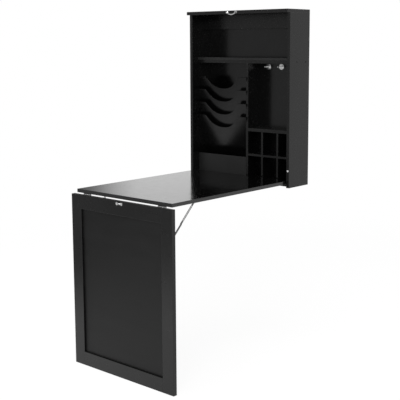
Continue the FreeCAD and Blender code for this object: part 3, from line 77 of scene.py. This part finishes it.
def maths(tree, operation, first, second=0.0, third=0.0):
    """One step of arithmetic on sockets or numbers."""
    return add_node(tree, "ShaderNodeMath", {0: first, 1: second, 2: third}, operation=operation).outputs[0]


def fitted(tree, value, low, high, to_low, to_high, smooth=False):
    """Maps low..high onto to_low..to_high, and keeps to that range."""
    kind = "SMOOTHSTEP" if smooth else "LINEAR"
    return add_node(tree, "ShaderNodeMapRange", {"Value": value, "From Min": low, "From Max": high, "To Min": to_low,
                                                 "To Max": to_high}, interpolation_type=kind).outputs[0]


def blended(tree, factor, first, second):
    """A colour between two. Each is a socket, a grey level or a colour."""
    node = add_node(tree, "ShaderNodeMix", {"Factor": factor}, data_type="RGBA")
    for slot, tone in ((6, first), (7, second)):
        if isinstance(tone, bpy.types.NodeSocket):
            tree.links.new(tone, node.inputs[slot])
        else:
            node.inputs[slot].default_value = (*((tone,) * 3 if isinstance(tone, (int, float)) else tone), 1)
    return node.outputs[2]


def ramp(tree, factor, stops, blend="EASE"):
    """A colour ramp over a factor. Each stop is a position and a grey level or a colour."""
    node = add_node(tree, "ShaderNodeValToRGB", {"Fac": factor})
    node.color_ramp.interpolation = blend
    while len(node.color_ramp.elements) < len(stops):
        node.color_ramp.elements.new(0.5)
    for element, (position, tone) in zip(node.color_ramp.elements, stops):
        element.position = position
        element.color = (tone, tone, tone, 1) if isinstance(tone, (int, float)) else (*tone, 1)
    return node.outputs["Color"]


def surfaced(tree, shader, kind="ShaderNodeOutputMaterial"):
    """Links a shader to the tree's output."""
    tree.links.new(shader.outputs[0], add_node(tree, kind).inputs["Surface"])


def finish_of(name):
    """A new material: itself, its emptied tree, and where each point lies on the object, in metres."""
    finish = bpy.data.materials.new(name)
    tree = tree_of(finish)
    return finish, tree, add_node(tree, "ShaderNodeTexCoord").outputs["Object"]


def lamp(name, place, width, height, power, in_gloss=True):
    """A soft rectangular lamp aimed at the desk's middle. The camera never sees it, and gloss only if asked."""
    aim = Vector((0, -0.4, -0.6))
    light = bpy.data.lights.new(name, "AREA")
    light.shape = "RECTANGLE"
    light.size, light.size_y, light.energy = width, height, power
    holder = bpy.data.objects.new(name, light)
    bpy.context.collection.objects.link(holder)
    holder.location = place
    holder.rotation_euler = (aim - Vector(place)).to_track_quat("-Z", "Y").to_euler()
    holder.visible_camera, holder.visible_glossy = False, in_gloss


# How bright the surround looks in gloss, by its heading in degrees round from +X.
HEADINGS = [(-180, 0.15), (-150, 0.36), (-131, 0.40), (-90, 0.50), (-49, 0.70), (0, 0.75), (40, 0.64), (60, 0.66),
            (100, 1.0), (136.8, 1.0), (139.6, 0.13), (165, 0.12)]
AMBIENT = 0.55
world = bpy.data.worlds.new("studio")
bpy.context.scene.world = world
sky = tree_of(world)
sight = add_node(sky, "ShaderNodeLightPath")
heading = add_node(sky, "ShaderNodeSeparateXYZ", {"Vector": add_node(sky, "ShaderNodeTexCoord").outputs["Generated"]})
turn = maths(sky, "MULTIPLY_ADD", maths(sky, "ARCTAN2", heading.outputs["Y"], heading.outputs["X"]),
             0.5 / math.pi, 0.5)
in_gloss = ramp(sky, turn, [((degrees + 180) / 360, tone) for degrees, tone in HEADINGS], "LINEAR")
seen_plainly = maths(sky, "MAXIMUM", sight.outputs["Is Camera Ray"], sight.outputs["Is Transmission Ray"])
unseen = blended(sky, sight.outputs["Is Glossy Ray"], AMBIENT, in_gloss)
surround = add_node(sky, "ShaderNodeBackground", {"Color": blended(sky, seen_plainly, unseen, 1.0)})
surfaced(sky, surround, "ShaderNodeOutputWorld")

# The floor's painted reflection: in gloss it glows by its own emission at these levels, from its far left to its right,
# in metres along a slanted line.
FLOOR_GLOW_IN_GLOSS = [(-4, 0.36), (-2.4, 0.28), (-1.98, 0.30), (-1.55, 0.88), (-1.1, 0.95), (-0.6, 0.88), (0, 0.74),
               (1, 0.66)]
LEFT_END, RIGHT_END = FLOOR_GLOW_IN_GLOSS[0][0], FLOOR_GLOW_IN_GLOSS[-1][0]
LINE_SLANT = 0.37
FLOOR_REACH = 9.0
# The floor shows its shadow near the desk, and turns into plain background between these distances.
SHADOW_ENDS = (1.5, 3.5)
PLAIN_NEAR_DESK = 0.9
floor_mesh = bpy.data.meshes.new("floor")
corners = [(x * FLOOR_REACH, y * FLOOR_REACH, cad_box[0][2]) for x, y in ((-1, -1), (1, -1), (1, 1), (-1, 1))]
floor_mesh.from_pydata(corners, [], [(0, 1, 2, 3)])
floor = bpy.data.objects.new("floor", floor_mesh)
bpy.context.collection.objects.link(floor)
floor_finish, floor_tree, floor_spot = finish_of("pale_floor")
floor_sight = add_node(floor_tree, "ShaderNodeLightPath")
floor_at = add_node(floor_tree, "ShaderNodeSeparateXYZ", {"Vector": floor_spot}).outputs
along = maths(floor_tree, "MULTIPLY_ADD", floor_at["Y"], LINE_SLANT, floor_at["X"])
floor_glow_in_gloss = ramp(floor_tree, fitted(floor_tree, along, LEFT_END, RIGHT_END, 0.0, 1.0),
                   [((place - LEFT_END) / (RIGHT_END - LEFT_END), tone) for place, tone in FLOOR_GLOW_IN_GLOSS], "LINEAR")
floor_tone = blended(floor_tree, floor_sight.outputs["Is Glossy Ray"], 1.0, floor_glow_in_gloss)
far_off = add_node(floor_tree, "ShaderNodeVectorMath", {0: floor_spot}, operation="LENGTH").outputs["Value"]
plain_share = maths(floor_tree, "MULTIPLY", floor_sight.outputs["Is Camera Ray"],
                    fitted(floor_tree, far_off, *SHADOW_ENDS, PLAIN_NEAR_DESK, 1.0, True))
# In gloss the floor is all emission at those levels, a painted glow for paint and metal to mirror.
floor_share = maths(floor_tree, "MAXIMUM", plain_share, floor_sight.outputs["Is Glossy Ray"])
floor_mix = add_node(floor_tree, "ShaderNodeMixShader", {"Fac": floor_share})
floor_tree.links.new(add_node(floor_tree, "ShaderNodeBsdfDiffuse", {"Color": (0.92, 0.92, 0.92, 1)}).outputs[0],
                     floor_mix.inputs[1])
floor_tree.links.new(add_node(floor_tree, "ShaderNodeEmission", {"Color": floor_tone}).outputs[0],
                     floor_mix.inputs[2])
surfaced(floor_tree, floor_mix)
floor_mesh.materials.append(floor_finish)

lamp("key_lamp", (2.2, -3.0, 1.6), 2.4, 2.4, 120)
lamp("fill_lamp", (-3.0, -2.6, 0.6), 2.6, 2.6, 50, False)
lamp("top_lamp", (0.2, -1.2, 3.0), 3.0, 2.4, 100, False)

# ---------------------------------------------------------------- the camera
# It stands to the right, a little under the case's top, and looks along the desk board.
camera = bpy.data.cameras.new("camera")
viewer = bpy.data.objects.new("camera", camera)
bpy.context.collection.objects.link(viewer)
camera.sensor_width, camera.lens = 36, 78.94
camera.shift_x, camera.shift_y = -0.0349, -0.0734
camera.clip_start, camera.clip_end = 0.05, 60
STATION = (2.5435, -3.2176, -0.1011)
AZIMUTH, ELEVATION, ROLL = math.radians(41.16), math.radians(8.21), math.radians(-0.18)
ahead = Vector((-math.sin(AZIMUTH) * math.cos(ELEVATION), math.cos(AZIMUTH) * math.cos(ELEVATION),
                -math.sin(ELEVATION)))
across = ahead.cross(Vector((0, 0, 1))).normalized()
upward = across.cross(ahead)
tilted = Matrix((across * math.cos(ROLL) + upward * math.sin(ROLL),
                 upward * math.cos(ROLL) - across * math.sin(ROLL), -ahead)).transposed()
viewer.matrix_world = Matrix.Translation(STATION) @ tilted.to_4x4()
bpy.context.scene.camera = viewer
bpy.context.scene.view_settings.view_transform = "Standard"

# ---------------------------------------------------------------- case boards
# Fibreboard panels, dowelled and glued, sprayed black: satin, with a fine orange-peel skin that has lost
# a little gloss where hands and books rub, and arrises that show slightly greyer.


def sprayed(name, deep, worn, gloss, peel=1.0, ior=1.5, lacquer=0.0):
    """Black spray paint on board. Deep and worn are its two tones, and gloss its lowest roughness.

    Peel scales the relief of its skin, and lacquer is the share of a clear coat over it.
    """
    finish, tree, spot = finish_of(name)
    cloud = add_node(tree, "ShaderNodeTexNoise", {"Vector": spot, "Scale": 7.0, "Detail": 4.0, "Roughness": 0.6})
    rub = add_node(tree, "ShaderNodeTexNoise", {"Vector": spot, "Scale": 38.0, "Detail": 6.0, "Roughness": 0.65})
    skin = add_node(tree, "ShaderNodeTexNoise", {"Vector": spot, "Scale": 520.0, "Detail": 2.0})
    dust = add_node(tree, "ShaderNodeTexNoise", {"Vector": spot, "Scale": 1900.0, "Detail": 1.0})
    softened = add_node(tree, "ShaderNodeBevel", {"Radius": 0.0012}, samples=4)
    flat = add_node(tree, "ShaderNodeNewGeometry").outputs["Normal"]
    facing = add_node(tree, "ShaderNodeVectorMath", {0: softened.outputs[0], 1: flat}, operation="DOT_PRODUCT")
    edge = fitted(tree, facing.outputs["Value"], 1.0, 0.88, 0.0, 0.35)
    colour = blended(tree, maths(tree, "MULTIPLY", edge, rub.outputs["Fac"]),
                     ramp(tree, cloud.outputs["Fac"], [(0.3, deep), (0.75, worn)]), (0.10, 0.098, 0.095))
    peeled = add_node(tree, "ShaderNodeBump", {"Height": skin.outputs["Fac"], "Strength": 0.05 * peel,
                                               "Distance": 0.0006, "Normal": softened.outputs[0]})
    dusted = add_node(tree, "ShaderNodeBump", {"Height": dust.outputs["Fac"], "Strength": 0.03 * peel,
                                               "Distance": 0.0003, "Normal": peeled.outputs[0]})
    surfaced(tree, add_node(tree, "ShaderNodeBsdfPrincipled", {
        "Base Color": colour, "Roughness": fitted(tree, rub.outputs["Fac"], 0.3, 0.7, gloss, gloss + 0.08),
        "Normal": dusted.outputs[0], "IOR": ior, "Coat Weight": lacquer, "Coat Roughness": 0.08,
        "Coat Normal": dusted.outputs[0]}))
    return finish


def dress(finish, *names):
    """Gives CAD nodes one finish."""
    for name in names:
        slots = cad[name].data.materials
        slots.clear()
        slots.append(finish)


dress(sprayed("case_paint", 0.0010, 0.0022, 0.22),
      "side_panel_left", "side_panel_right", "top_panel", "bottom_panel", "hanging_rail")
# The back board, the rack floor and the pocket floor strips take darker tones of the case's black, as painted shade for
# the case's inside.
dress(sprayed("back_paint_shaded_darker", 0.0008, 0.0018, 0.16), "back_panel", "rack_floor", "pocket_floor_strips")

# ---------------------------------------------------------------- dowels and bushes
# Bare beech dowels hidden in the case's corners, and the black moulded bushes that the desk board turns in.


def beech_wood(name):
    """Bare turned beech, with its fine flecked grain."""
    finish, tree, spot = finish_of(name)
    grain = add_node(tree, "ShaderNodeTexNoise", {"Vector": spot, "Scale": 300.0, "Detail": 5.0, "Distortion": 1.5})
    bump = add_node(tree, "ShaderNodeBump", {"Height": grain.outputs["Fac"], "Strength": 0.2, "Distance": 0.0003})
    colour = ramp(tree, grain.outputs["Fac"], [(0.3, (0.5, 0.33, 0.2)), (0.7, (0.68, 0.49, 0.32))])
    surfaced(tree, add_node(tree, "ShaderNodeBsdfPrincipled", {
        "Base Color": colour, "Normal": bump.outputs[0],
        "Roughness": fitted(tree, grain.outputs["Fac"], 0.2, 0.8, 0.6, 0.8)}))
    return finish


def moulded(name, dark, pale, rough):
    """Moulded plastic with a fine spark-eroded skin."""
    finish, tree, spot = finish_of(name)
    grain = add_node(tree, "ShaderNodeTexNoise", {"Vector": spot, "Scale": 1400.0, "Detail": 3.0})
    cloud = add_node(tree, "ShaderNodeTexNoise", {"Vector": spot, "Scale": 90.0, "Detail": 3.0})
    bump = add_node(tree, "ShaderNodeBump", {"Height": grain.outputs["Fac"], "Strength": 0.15, "Distance": 0.0002})
    surfaced(tree, add_node(tree, "ShaderNodeBsdfPrincipled", {
        "Base Color": ramp(tree, cloud.outputs["Fac"], [(0.3, dark), (0.7, pale)]), "Normal": bump.outputs[0],
        "Roughness": fitted(tree, cloud.outputs["Fac"], 0.3, 0.7, rough, rough + 0.12)}))
    return finish


dress(beech_wood("bare_beech"), "case_dowels")
dress(moulded("bush_moulding", 0.012, 0.02, 0.45), "pivot_bushes")

# ---------------------------------------------------------------- shelves, divider and cubbies
# Painted boards let into the divider and into each other. The main shelf has a lip along its front.
dress(sprayed("shelf_paint", 0.0010, 0.0022, 0.22), "main_shelf", "centre_divider", "lower_shelf")
# The cubby boards take darker tones of the case's black, as painted shade for the cubbies' inside.
dress(sprayed("cubby_paint_shaded_darker", 0.0008, 0.0018, 0.20),
      "cubby_cross_shelf", "cubby_divider_left", "cubby_divider_right")

# ---------------------------------------------------------------- letter rack
# Four thin scooped boards that lean forward in grooves, sprayed a little glossier, and an upright apron
# with a flatter coat before the lowest one's foot. The apron and the shelf lip take lighter tones of the black than the
# case, as painted light.
# The tiers take darker tones of the case's black, as painted shade inside the rack.
dress(sprayed("tier_paint_shaded_darker", 0.0008, 0.0018, 0.20, peel=0.8, ior=1.43),
      "letter_tier_top", "letter_tier_upper", "letter_tier_lower", "letter_tier_bottom")
# Lighter tones than the case's black: painted light for the light the apron and the shelf lip catch.
dress(sprayed("flat_paint_lit_lighter", 0.0040, 0.0064, 0.48), "rack_apron", "shelf_lip")

# ---------------------------------------------------------------- coat hooks
# Turned and chromed brass: a round plate with a stepped boss, a slim peg with a ball at its end, and a
# threaded stud let into the back board.


def plated(name, dull, bright, rough, grain=900.0, rounding=0.0003):
    """Plated metal with fine drawn lines and softened edges."""
    finish, tree, spot = finish_of(name)
    drawn = add_node(tree, "ShaderNodeMapping", {"Vector": spot, "Scale": (0.08, 1.0, 1.0)})
    lines = add_node(tree, "ShaderNodeTexNoise", {"Vector": drawn.outputs[0], "Scale": grain, "Detail": 4.0})
    cloud = add_node(tree, "ShaderNodeTexNoise", {"Vector": spot, "Scale": 60.0, "Detail": 5.0, "Roughness": 0.6})
    softened = add_node(tree, "ShaderNodeBevel", {"Radius": rounding}, samples=6)
    bump = add_node(tree, "ShaderNodeBump", {"Height": lines.outputs["Fac"], "Strength": 0.08, "Distance": 0.0001,
                                             "Normal": softened.outputs[0]})
    surfaced(tree, add_node(tree, "ShaderNodeBsdfPrincipled", {
        "Base Color": ramp(tree, cloud.outputs["Fac"], [(0.3, dull), (0.7, bright)]), "Metallic": 1.0,
        "Roughness": fitted(tree, cloud.outputs["Fac"], 0.3, 0.7, rough, rough * 1.7),
        "Normal": bump.outputs[0]}))
    return finish


def turned(profile, segments):
    """Turns a profile of (radius, height) in mm about Z. The profile starts and ends on the axis."""
    shape = bmesh.new()
    rings = []
    for radius, height in profile:
        if radius == 0:
            rings.append([shape.verts.new((0, 0, height / 1000))] * segments)
        else:
            angles = [2 * math.pi * step / segments for step in range(segments)]
            rings.append([shape.verts.new((radius * math.cos(a) / 1000, radius * math.sin(a) / 1000, height / 1000))
                          for a in angles])
    for low, high in zip(rings, rings[1:]):
        for step in range(segments):
            after = (step + 1) % segments
            corners = []
            for corner in (low[step], low[after], high[after], high[step]):
                if corner not in corners:
                    corners.append(corner)
            shape.faces.new(corners)
    return shape


def piece_of(name, shape, places, finish, body, slot, *nodes):
    """Sets one shape at each place, as one piece that rides on a body and stands for CAD nodes.

    A place is a point in mm in the part's frame, and the way the shape's Z looks.
    """
    single = bpy.data.meshes.new(name)
    bmesh.ops.recalc_face_normals(shape, faces=shape.faces)
    shape.to_mesh(single)
    shape.free()
    whole = bmesh.new()
    for point, way in places:
        copy = single.copy()
        turn_to = Vector((0, 0, 1)).rotation_difference(Vector(way)).to_matrix().to_4x4()
        copy.transform(Matrix.Translation(Vector(point) / 1000) @ turn_to)
        whole.from_mesh(copy)
        bpy.data.meshes.remove(copy)
    mesh = bpy.data.meshes.new(name)
    whole.to_mesh(mesh)
    whole.free()
    mesh.polygons.foreach_set("use_smooth", [True] * len(mesh.polygons))
    mesh.set_sharp_from_angle(angle=math.radians(38))
    mesh.materials.append(finish)
    piece = bpy.data.objects.new(name, mesh)
    bpy.context.collection.objects.link(piece)
    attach(piece, body)
    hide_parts(*nodes)
    return piece


chrome = plated("bright_chrome", 0.86, 0.95, 0.035, grain=200.0, rounding=0.0004)
coat_hook = turned([(0, -10), (1.9, -10), (1.9, 0), (13.5, 0), (13.5, 2.4), (13.4, 2.75), (13.1, 2.95),
                    (12.7, 3.0), (9.1, 3.0), (9.0, 3.1), (9.0, 5.5), (8.9, 5.8), (8.6, 5.97), (8.2, 6.0),
                    (3.3, 6.0), (3.05, 6.2), (3.0, 7.0), (3.0, 22.4), (3.5, 23.4),
                    (4.3, 24.5), (4.85, 25.8), (5.0, 27.0), (4.85, 28.2), (4.3, 29.6), (3.4, 30.7), (2.0, 31.6),
                    (0, 32)], 40)
HOOK_X = (79.05, 152.25, 225.45)
BACK_BOARD_FACE, HOOK_HEIGHT = -15, -203.5
piece_of("turned_coat_hooks", coat_hook, [((x, BACK_BOARD_FACE, HOOK_HEIGHT), (0, -1, 0)) for x in HOOK_X],
         chrome, "cabinet", "chrome", "coat_hooks")

# ---------------------------------------------------------------- shelf screws
# Blackened screws that hold the main shelf, sunk through the sides, with a cross recess in each head.


def cross_recess(reach, depth):
    """A cross-shaped cutter in mm. It starts above a head's top at Z 0, and tapers down into it."""
    slot_half = 0.375
    quarters = ((-1, -1), (1, -1), (1, 1), (-1, 1))
    cutter = bmesh.new()
    for half_x, half_y in ((reach, slot_half), (slot_half, reach)):
        low = [cutter.verts.new((x * half_x * 0.55 / 1000, y * half_y * 0.8 / 1000, depth / 1000)) for x, y in quarters]
        high = [cutter.verts.new((x * half_x / 1000, y * half_y / 1000, -0.001)) for x, y in quarters]
        cutter.faces.new(low)
        cutter.faces.new(high)
        for step in range(4):
            cutter.faces.new((low[step], low[step - 1], high[step - 1], high[step]))
    bmesh.ops.recalc_face_normals(cutter, faces=cutter.faces)
    return cutter


def screw_shape(head, shank, length):
    """A screw whose head's top is at Z 0 and whose tip looks along Z, with a cross recess and a thread.

    Head is the head's own profile below its top, as (radius, height) in mm.
    """
    pitch, steps = 1.2, 12
    neck, core = head[-1][1], shank * 0.72
    blank = turned([(0, 0)] + head + [(core, neck + 0.4), (core, length - 2), (0, length)], 28)
    bmesh.ops.recalc_face_normals(blank, faces=blank.faces)
    # The recess is cut by a boolean, which allows for the cutter's two arms crossing each other.
    holders = []
    for label, shape in (("blank", blank), ("cutter", cross_recess(head[0][0] * 0.62, 0.85))):
        mesh = bpy.data.meshes.new(label)
        shape.to_mesh(mesh)
        shape.free()
        holder = bpy.data.objects.new(label, mesh)
        bpy.context.collection.objects.link(holder)
        holders.append(holder)
    carve = holders[0].modifiers.new("recess", "BOOLEAN")
    carve.object, carve.operation, carve.solver, carve.use_self = holders[1], "DIFFERENCE", "EXACT", True
    bpy.context.view_layer.update()
    carved = holders[0].evaluated_get(bpy.context.evaluated_depsgraph_get()).to_mesh()
    shape = bmesh.new()
    shape.from_mesh(carved)
    for holder in holders:
        bpy.data.objects.remove(holder)
    # The thread is a three-sided rib that winds round the core.
    ribs = []
    for step in range(int((length - 2.4 - neck) / pitch * steps) + 1):
        angle, height = 2 * math.pi * step / steps, neck + 0.5 + pitch * step / steps
        ribs.append([shape.verts.new((radius * math.cos(angle) / 1000, radius * math.sin(angle) / 1000,
                                      (height + lift) / 1000))
                     for radius, lift in ((shank * 0.7, -0.3), (shank, 0.0), (shank * 0.7, 0.3))])
    for low, high in zip(ribs, ribs[1:]):
        for edge in range(3):
            shape.faces.new((low[edge], low[edge - 2], high[edge - 2], high[edge]))
    shape.faces.new(ribs[0])
    shape.faces.new(ribs[-1])
    return shape


SUNK_HEAD = [(2.9, 0.0), (3.0, 0.15), (2.6, 0.9), (1.9, 2.2)]
SUNK_HEAD_X, SHELF_MIDDLE = 290.5, -180
piece_of("shelf_screws_cut", screw_shape(SUNK_HEAD, 1.9, 41.0),
         [((side * SUNK_HEAD_X, y, SHELF_MIDDLE), (-side, 0, 0)) for side in (-1, 1) for y in (-27, -94)],
         plated("black_screw", 0.004, 0.008, 0.45), "cabinet", "black_screw", "shelf_screws")

# ---------------------------------------------------------------- latch on the top board
# Bright chrome on steel: a crescent hook hung on a cross-head screw over a washer.
dress(chrome, "latch_hook", "latch_washer")
LATCH_HEAD = [(2.2, 0.12), (3.2, 0.45), (3.6, 1.0), (3.6, 1.4), (1.9, 1.4), (1.9, 3.2)]
LATCH_HEAD_AT = (-45.6, -168.1, 40)
piece_of("latch_screw_cut", screw_shape(LATCH_HEAD, 1.9, 18.0), [(LATCH_HEAD_AT, (0, 1, 0))],
         chrome, "cabinet", "chrome", "latch_screw")

# ---------------------------------------------------------------- bumper
# A soft white dot, stuck on the right side's front edge, that the shut leg panel closes against.
BUMPER_AT = (284.5, -144, -653.5)
piece_of("domed_bumper", turned([(0, 0), (4.5, 0), (4.5, 0.2), (4.1, 0.45), (3.0, 0.62), (0, 0.7)], 36),
         [(BUMPER_AT, (0, -1, 0))], moulded("soft_white", 0.36, 0.44, 0.42), "cabinet", "bumper", "bumper")

# ---------------------------------------------------------------- desk board
# The same board with a closer, glossier coat, so that it mirrors the room at a low angle. It turns on
# two steel pins let into its ends.
dress(sprayed("desk_paint", 0.0007, 0.0016, 0.11, peel=0.5, ior=1.62, lacquer=0.35), "desk_top")
zinc = plated("zinc_plate", 0.55, 0.75, 0.26)
dress(zinc, "desk_pivot_pins")

# ---------------------------------------------------------------- leg frame and chalkboard
# Stiles and rails of the case's paint, in lighter tones of it as painted light, hold a thin panel in matte chalkboard
# paint, wiped many times.
dress(sprayed("frame_paint_lit_lighter", 0.0014, 0.0026, 0.26),
      "leg_stile_left", "leg_stile_right", "leg_rail_top", "leg_rail_bottom")


def slate_coat(name):
    """Matte chalkboard paint with the faint grey of wiped chalk."""
    finish, tree, spot = finish_of(name)
    sweep = add_node(tree, "ShaderNodeMapping", {"Vector": spot, "Rotation": (0, math.radians(24), 0),
                                                 "Scale": (1.0, 1.0, 5.0)})
    wipe = add_node(tree, "ShaderNodeTexNoise", {"Vector": sweep.outputs[0], "Scale": 5.0, "Detail": 7.0,
                                                 "Roughness": 0.62})
    tooth = add_node(tree, "ShaderNodeTexNoise", {"Vector": spot, "Scale": 900.0, "Detail": 3.0})
    bump = add_node(tree, "ShaderNodeBump", {"Height": tooth.outputs["Fac"], "Strength": 0.25, "Distance": 0.0004})
    surfaced(tree, add_node(tree, "ShaderNodeBsdfPrincipled", {
        "Base Color": ramp(tree, wipe.outputs["Fac"], [(0.35, 0.0012), (0.8, 0.0032)]),
        "Roughness": fitted(tree, wipe.outputs["Fac"], 0.3, 0.7, 0.46, 0.56), "Normal": bump.outputs[0],
        "IOR": 1.42}))
    return finish


dress(slate_coat("chalkboard_paint"), "chalkboard_panel")

# ---------------------------------------------------------------- keeper
# A small chromed plate with a headed stud, which the hook drops over, on two countersunk screws.
dress(chrome, "keeper_plate")
KEEPER_HEAD = [(2.55, 0.0), (2.6, 0.1), (1.6, 1.1)]
KEEPER_FACE, KEEPER_HEIGHT = -883.2, -729
piece_of("keeper_screws_cut", screw_shape(KEEPER_HEAD, 1.6, 11.0),
         [((x, KEEPER_FACE, KEEPER_HEIGHT), (0, 1, 0)) for x in (-13, 13)],
         chrome, "leg", "chrome", "keeper_screws")

# ---------------------------------------------------------------- hinges
# Zinc plated butt hinges on dark pins with domed buttons, each leaf held by two pan-head screws.
dress(zinc, "desk_hinge_leaves", "leg_hinge_leaves")
HINGE_Y, HINGE_Z = -859, -718.5
PIN_START, PIN_LENGTH = 196.2, 41.6
PIN_BUTTON = [(0, 0), (2.4, 0.05), (3.4, 0.3), (3.8, 0.8), (2.4, 0.8)]
pin_shape = turned(PIN_BUTTON + [(radius, PIN_LENGTH - height) for radius, height in reversed(PIN_BUTTON)], 28)
piece_of("domed_hinge_pins", pin_shape, [((side * PIN_START, HINGE_Y, HINGE_Z), (side, 0, 0)) for side in (-1, 1)],
         plated("pin_steel", 0.16, 0.28, 0.32), "desk", "steel", "hinge_pins")
PAN_HEAD = [(2.0, 0.1), (2.9, 0.4), (3.2, 0.9), (3.2, 1.4), (1.6, 1.4), (1.6, 2.2)]
SMALL_SHANK, SMALL_LENGTH = 1.6, 12.4
HINGE_SCREW_X, HINGE_SCREW_OUT = (-229, -205, 205, 229), 20
piece_of("desk_hinge_screws_cut", screw_shape(PAN_HEAD, SMALL_SHANK, SMALL_LENGTH),
         [((x, HINGE_Y + HINGE_SCREW_OUT, -716.9), (0, 0, 1)) for x in HINGE_SCREW_X],
         zinc, "desk", "steel", "desk_hinge_screws")
piece_of("leg_hinge_screws_cut", screw_shape(PAN_HEAD, SMALL_SHANK, SMALL_LENGTH),
         [((x, -860.6, HINGE_Z - HINGE_SCREW_OUT), (0, -1, 0)) for x in HINGE_SCREW_X],
         zinc, "leg", "steel", "leg_hinge_screws")

# ---------------------------------------------------------------- folding stays
# Two pressed arms on a knuckle at each end of the desk board. Their brackets are screwed to the desk
# board and to the leg panel, and domed rivets join them.
stay_zinc = plated("stay_zinc", 0.15, 0.24, 0.32)
dress(stay_zinc, "stay_upper_arm_left", "stay_upper_arm_right", "stay_lower_arm_left", "stay_lower_arm_right",
      "stay_desk_brackets", "stay_leg_brackets")
# Where the rivets stand, as Y and Z in mm. A bracket's two screws lie 11 mm to either side of its rivet.
DESK_RIVET, KNUCKLE, LEG_RIVET = (-709, -718.5), (-784, -793.5), (-859, -868.5)
BRACKET_SCREWS = (-11, 11)
piece_of("stay_desk_screws_cut", screw_shape(PAN_HEAD, SMALL_SHANK, SMALL_LENGTH),
         [((x, DESK_RIVET[0] + step, -716.4), (0, 0, 1)) for x in (-235.8, 235.8) for step in BRACKET_SCREWS],
         zinc, "desk", "steel", "stay_desk_screws")
piece_of("stay_leg_screws_cut", screw_shape(PAN_HEAD, SMALL_SHANK, SMALL_LENGTH),
         [((x, -861.1, LEG_RIVET[1] + step), (0, -1, 0)) for x in (-254.2, 254.2) for step in BRACKET_SCREWS],
         zinc, "leg", "steel", "stay_leg_screws")


def rivet(length):
    """A rivet with a domed head at Z 0."""
    return turned([(0, 0), (1.4, 0.08), (2.4, 0.38), (3.0, 0.9), (3.0, 1.0), (2.0, 1.0), (2.0, length), (0, length)],
                  28)


BRACKET_RIVET, HALF_KNUCKLE = 4.3, 2.5
piece_of("domed_desk_rivets", rivet(BRACKET_RIVET),
         [((side * 240.55, *DESK_RIVET), (side, 0, 0)) for side in (-1, 1)],
         stay_zinc, "desk", "steel", "stay_desk_rivets")
piece_of("domed_leg_rivets", rivet(BRACKET_RIVET),
         [((side * 249.45, *LEG_RIVET), (-side, 0, 0)) for side in (-1, 1)],
         stay_zinc, "leg", "steel", "stay_leg_rivets")
for name, side in (("left", -1), ("right", 1)):
    piece_of(f"domed_knuckle_upper_{name}", rivet(HALF_KNUCKLE), [((side * 242.35, *KNUCKLE), (side, 0, 0))],
             stay_zinc, f"stay_upper_{name}", "steel", f"knuckle_upper_{name}")
    piece_of(f"domed_knuckle_lower_{name}", rivet(HALF_KNUCKLE), [((side * 247.65, *KNUCKLE), (-side, 0, 0))],
             stay_zinc, f"stay_lower_{name}", "steel", f"knuckle_lower_{name}")
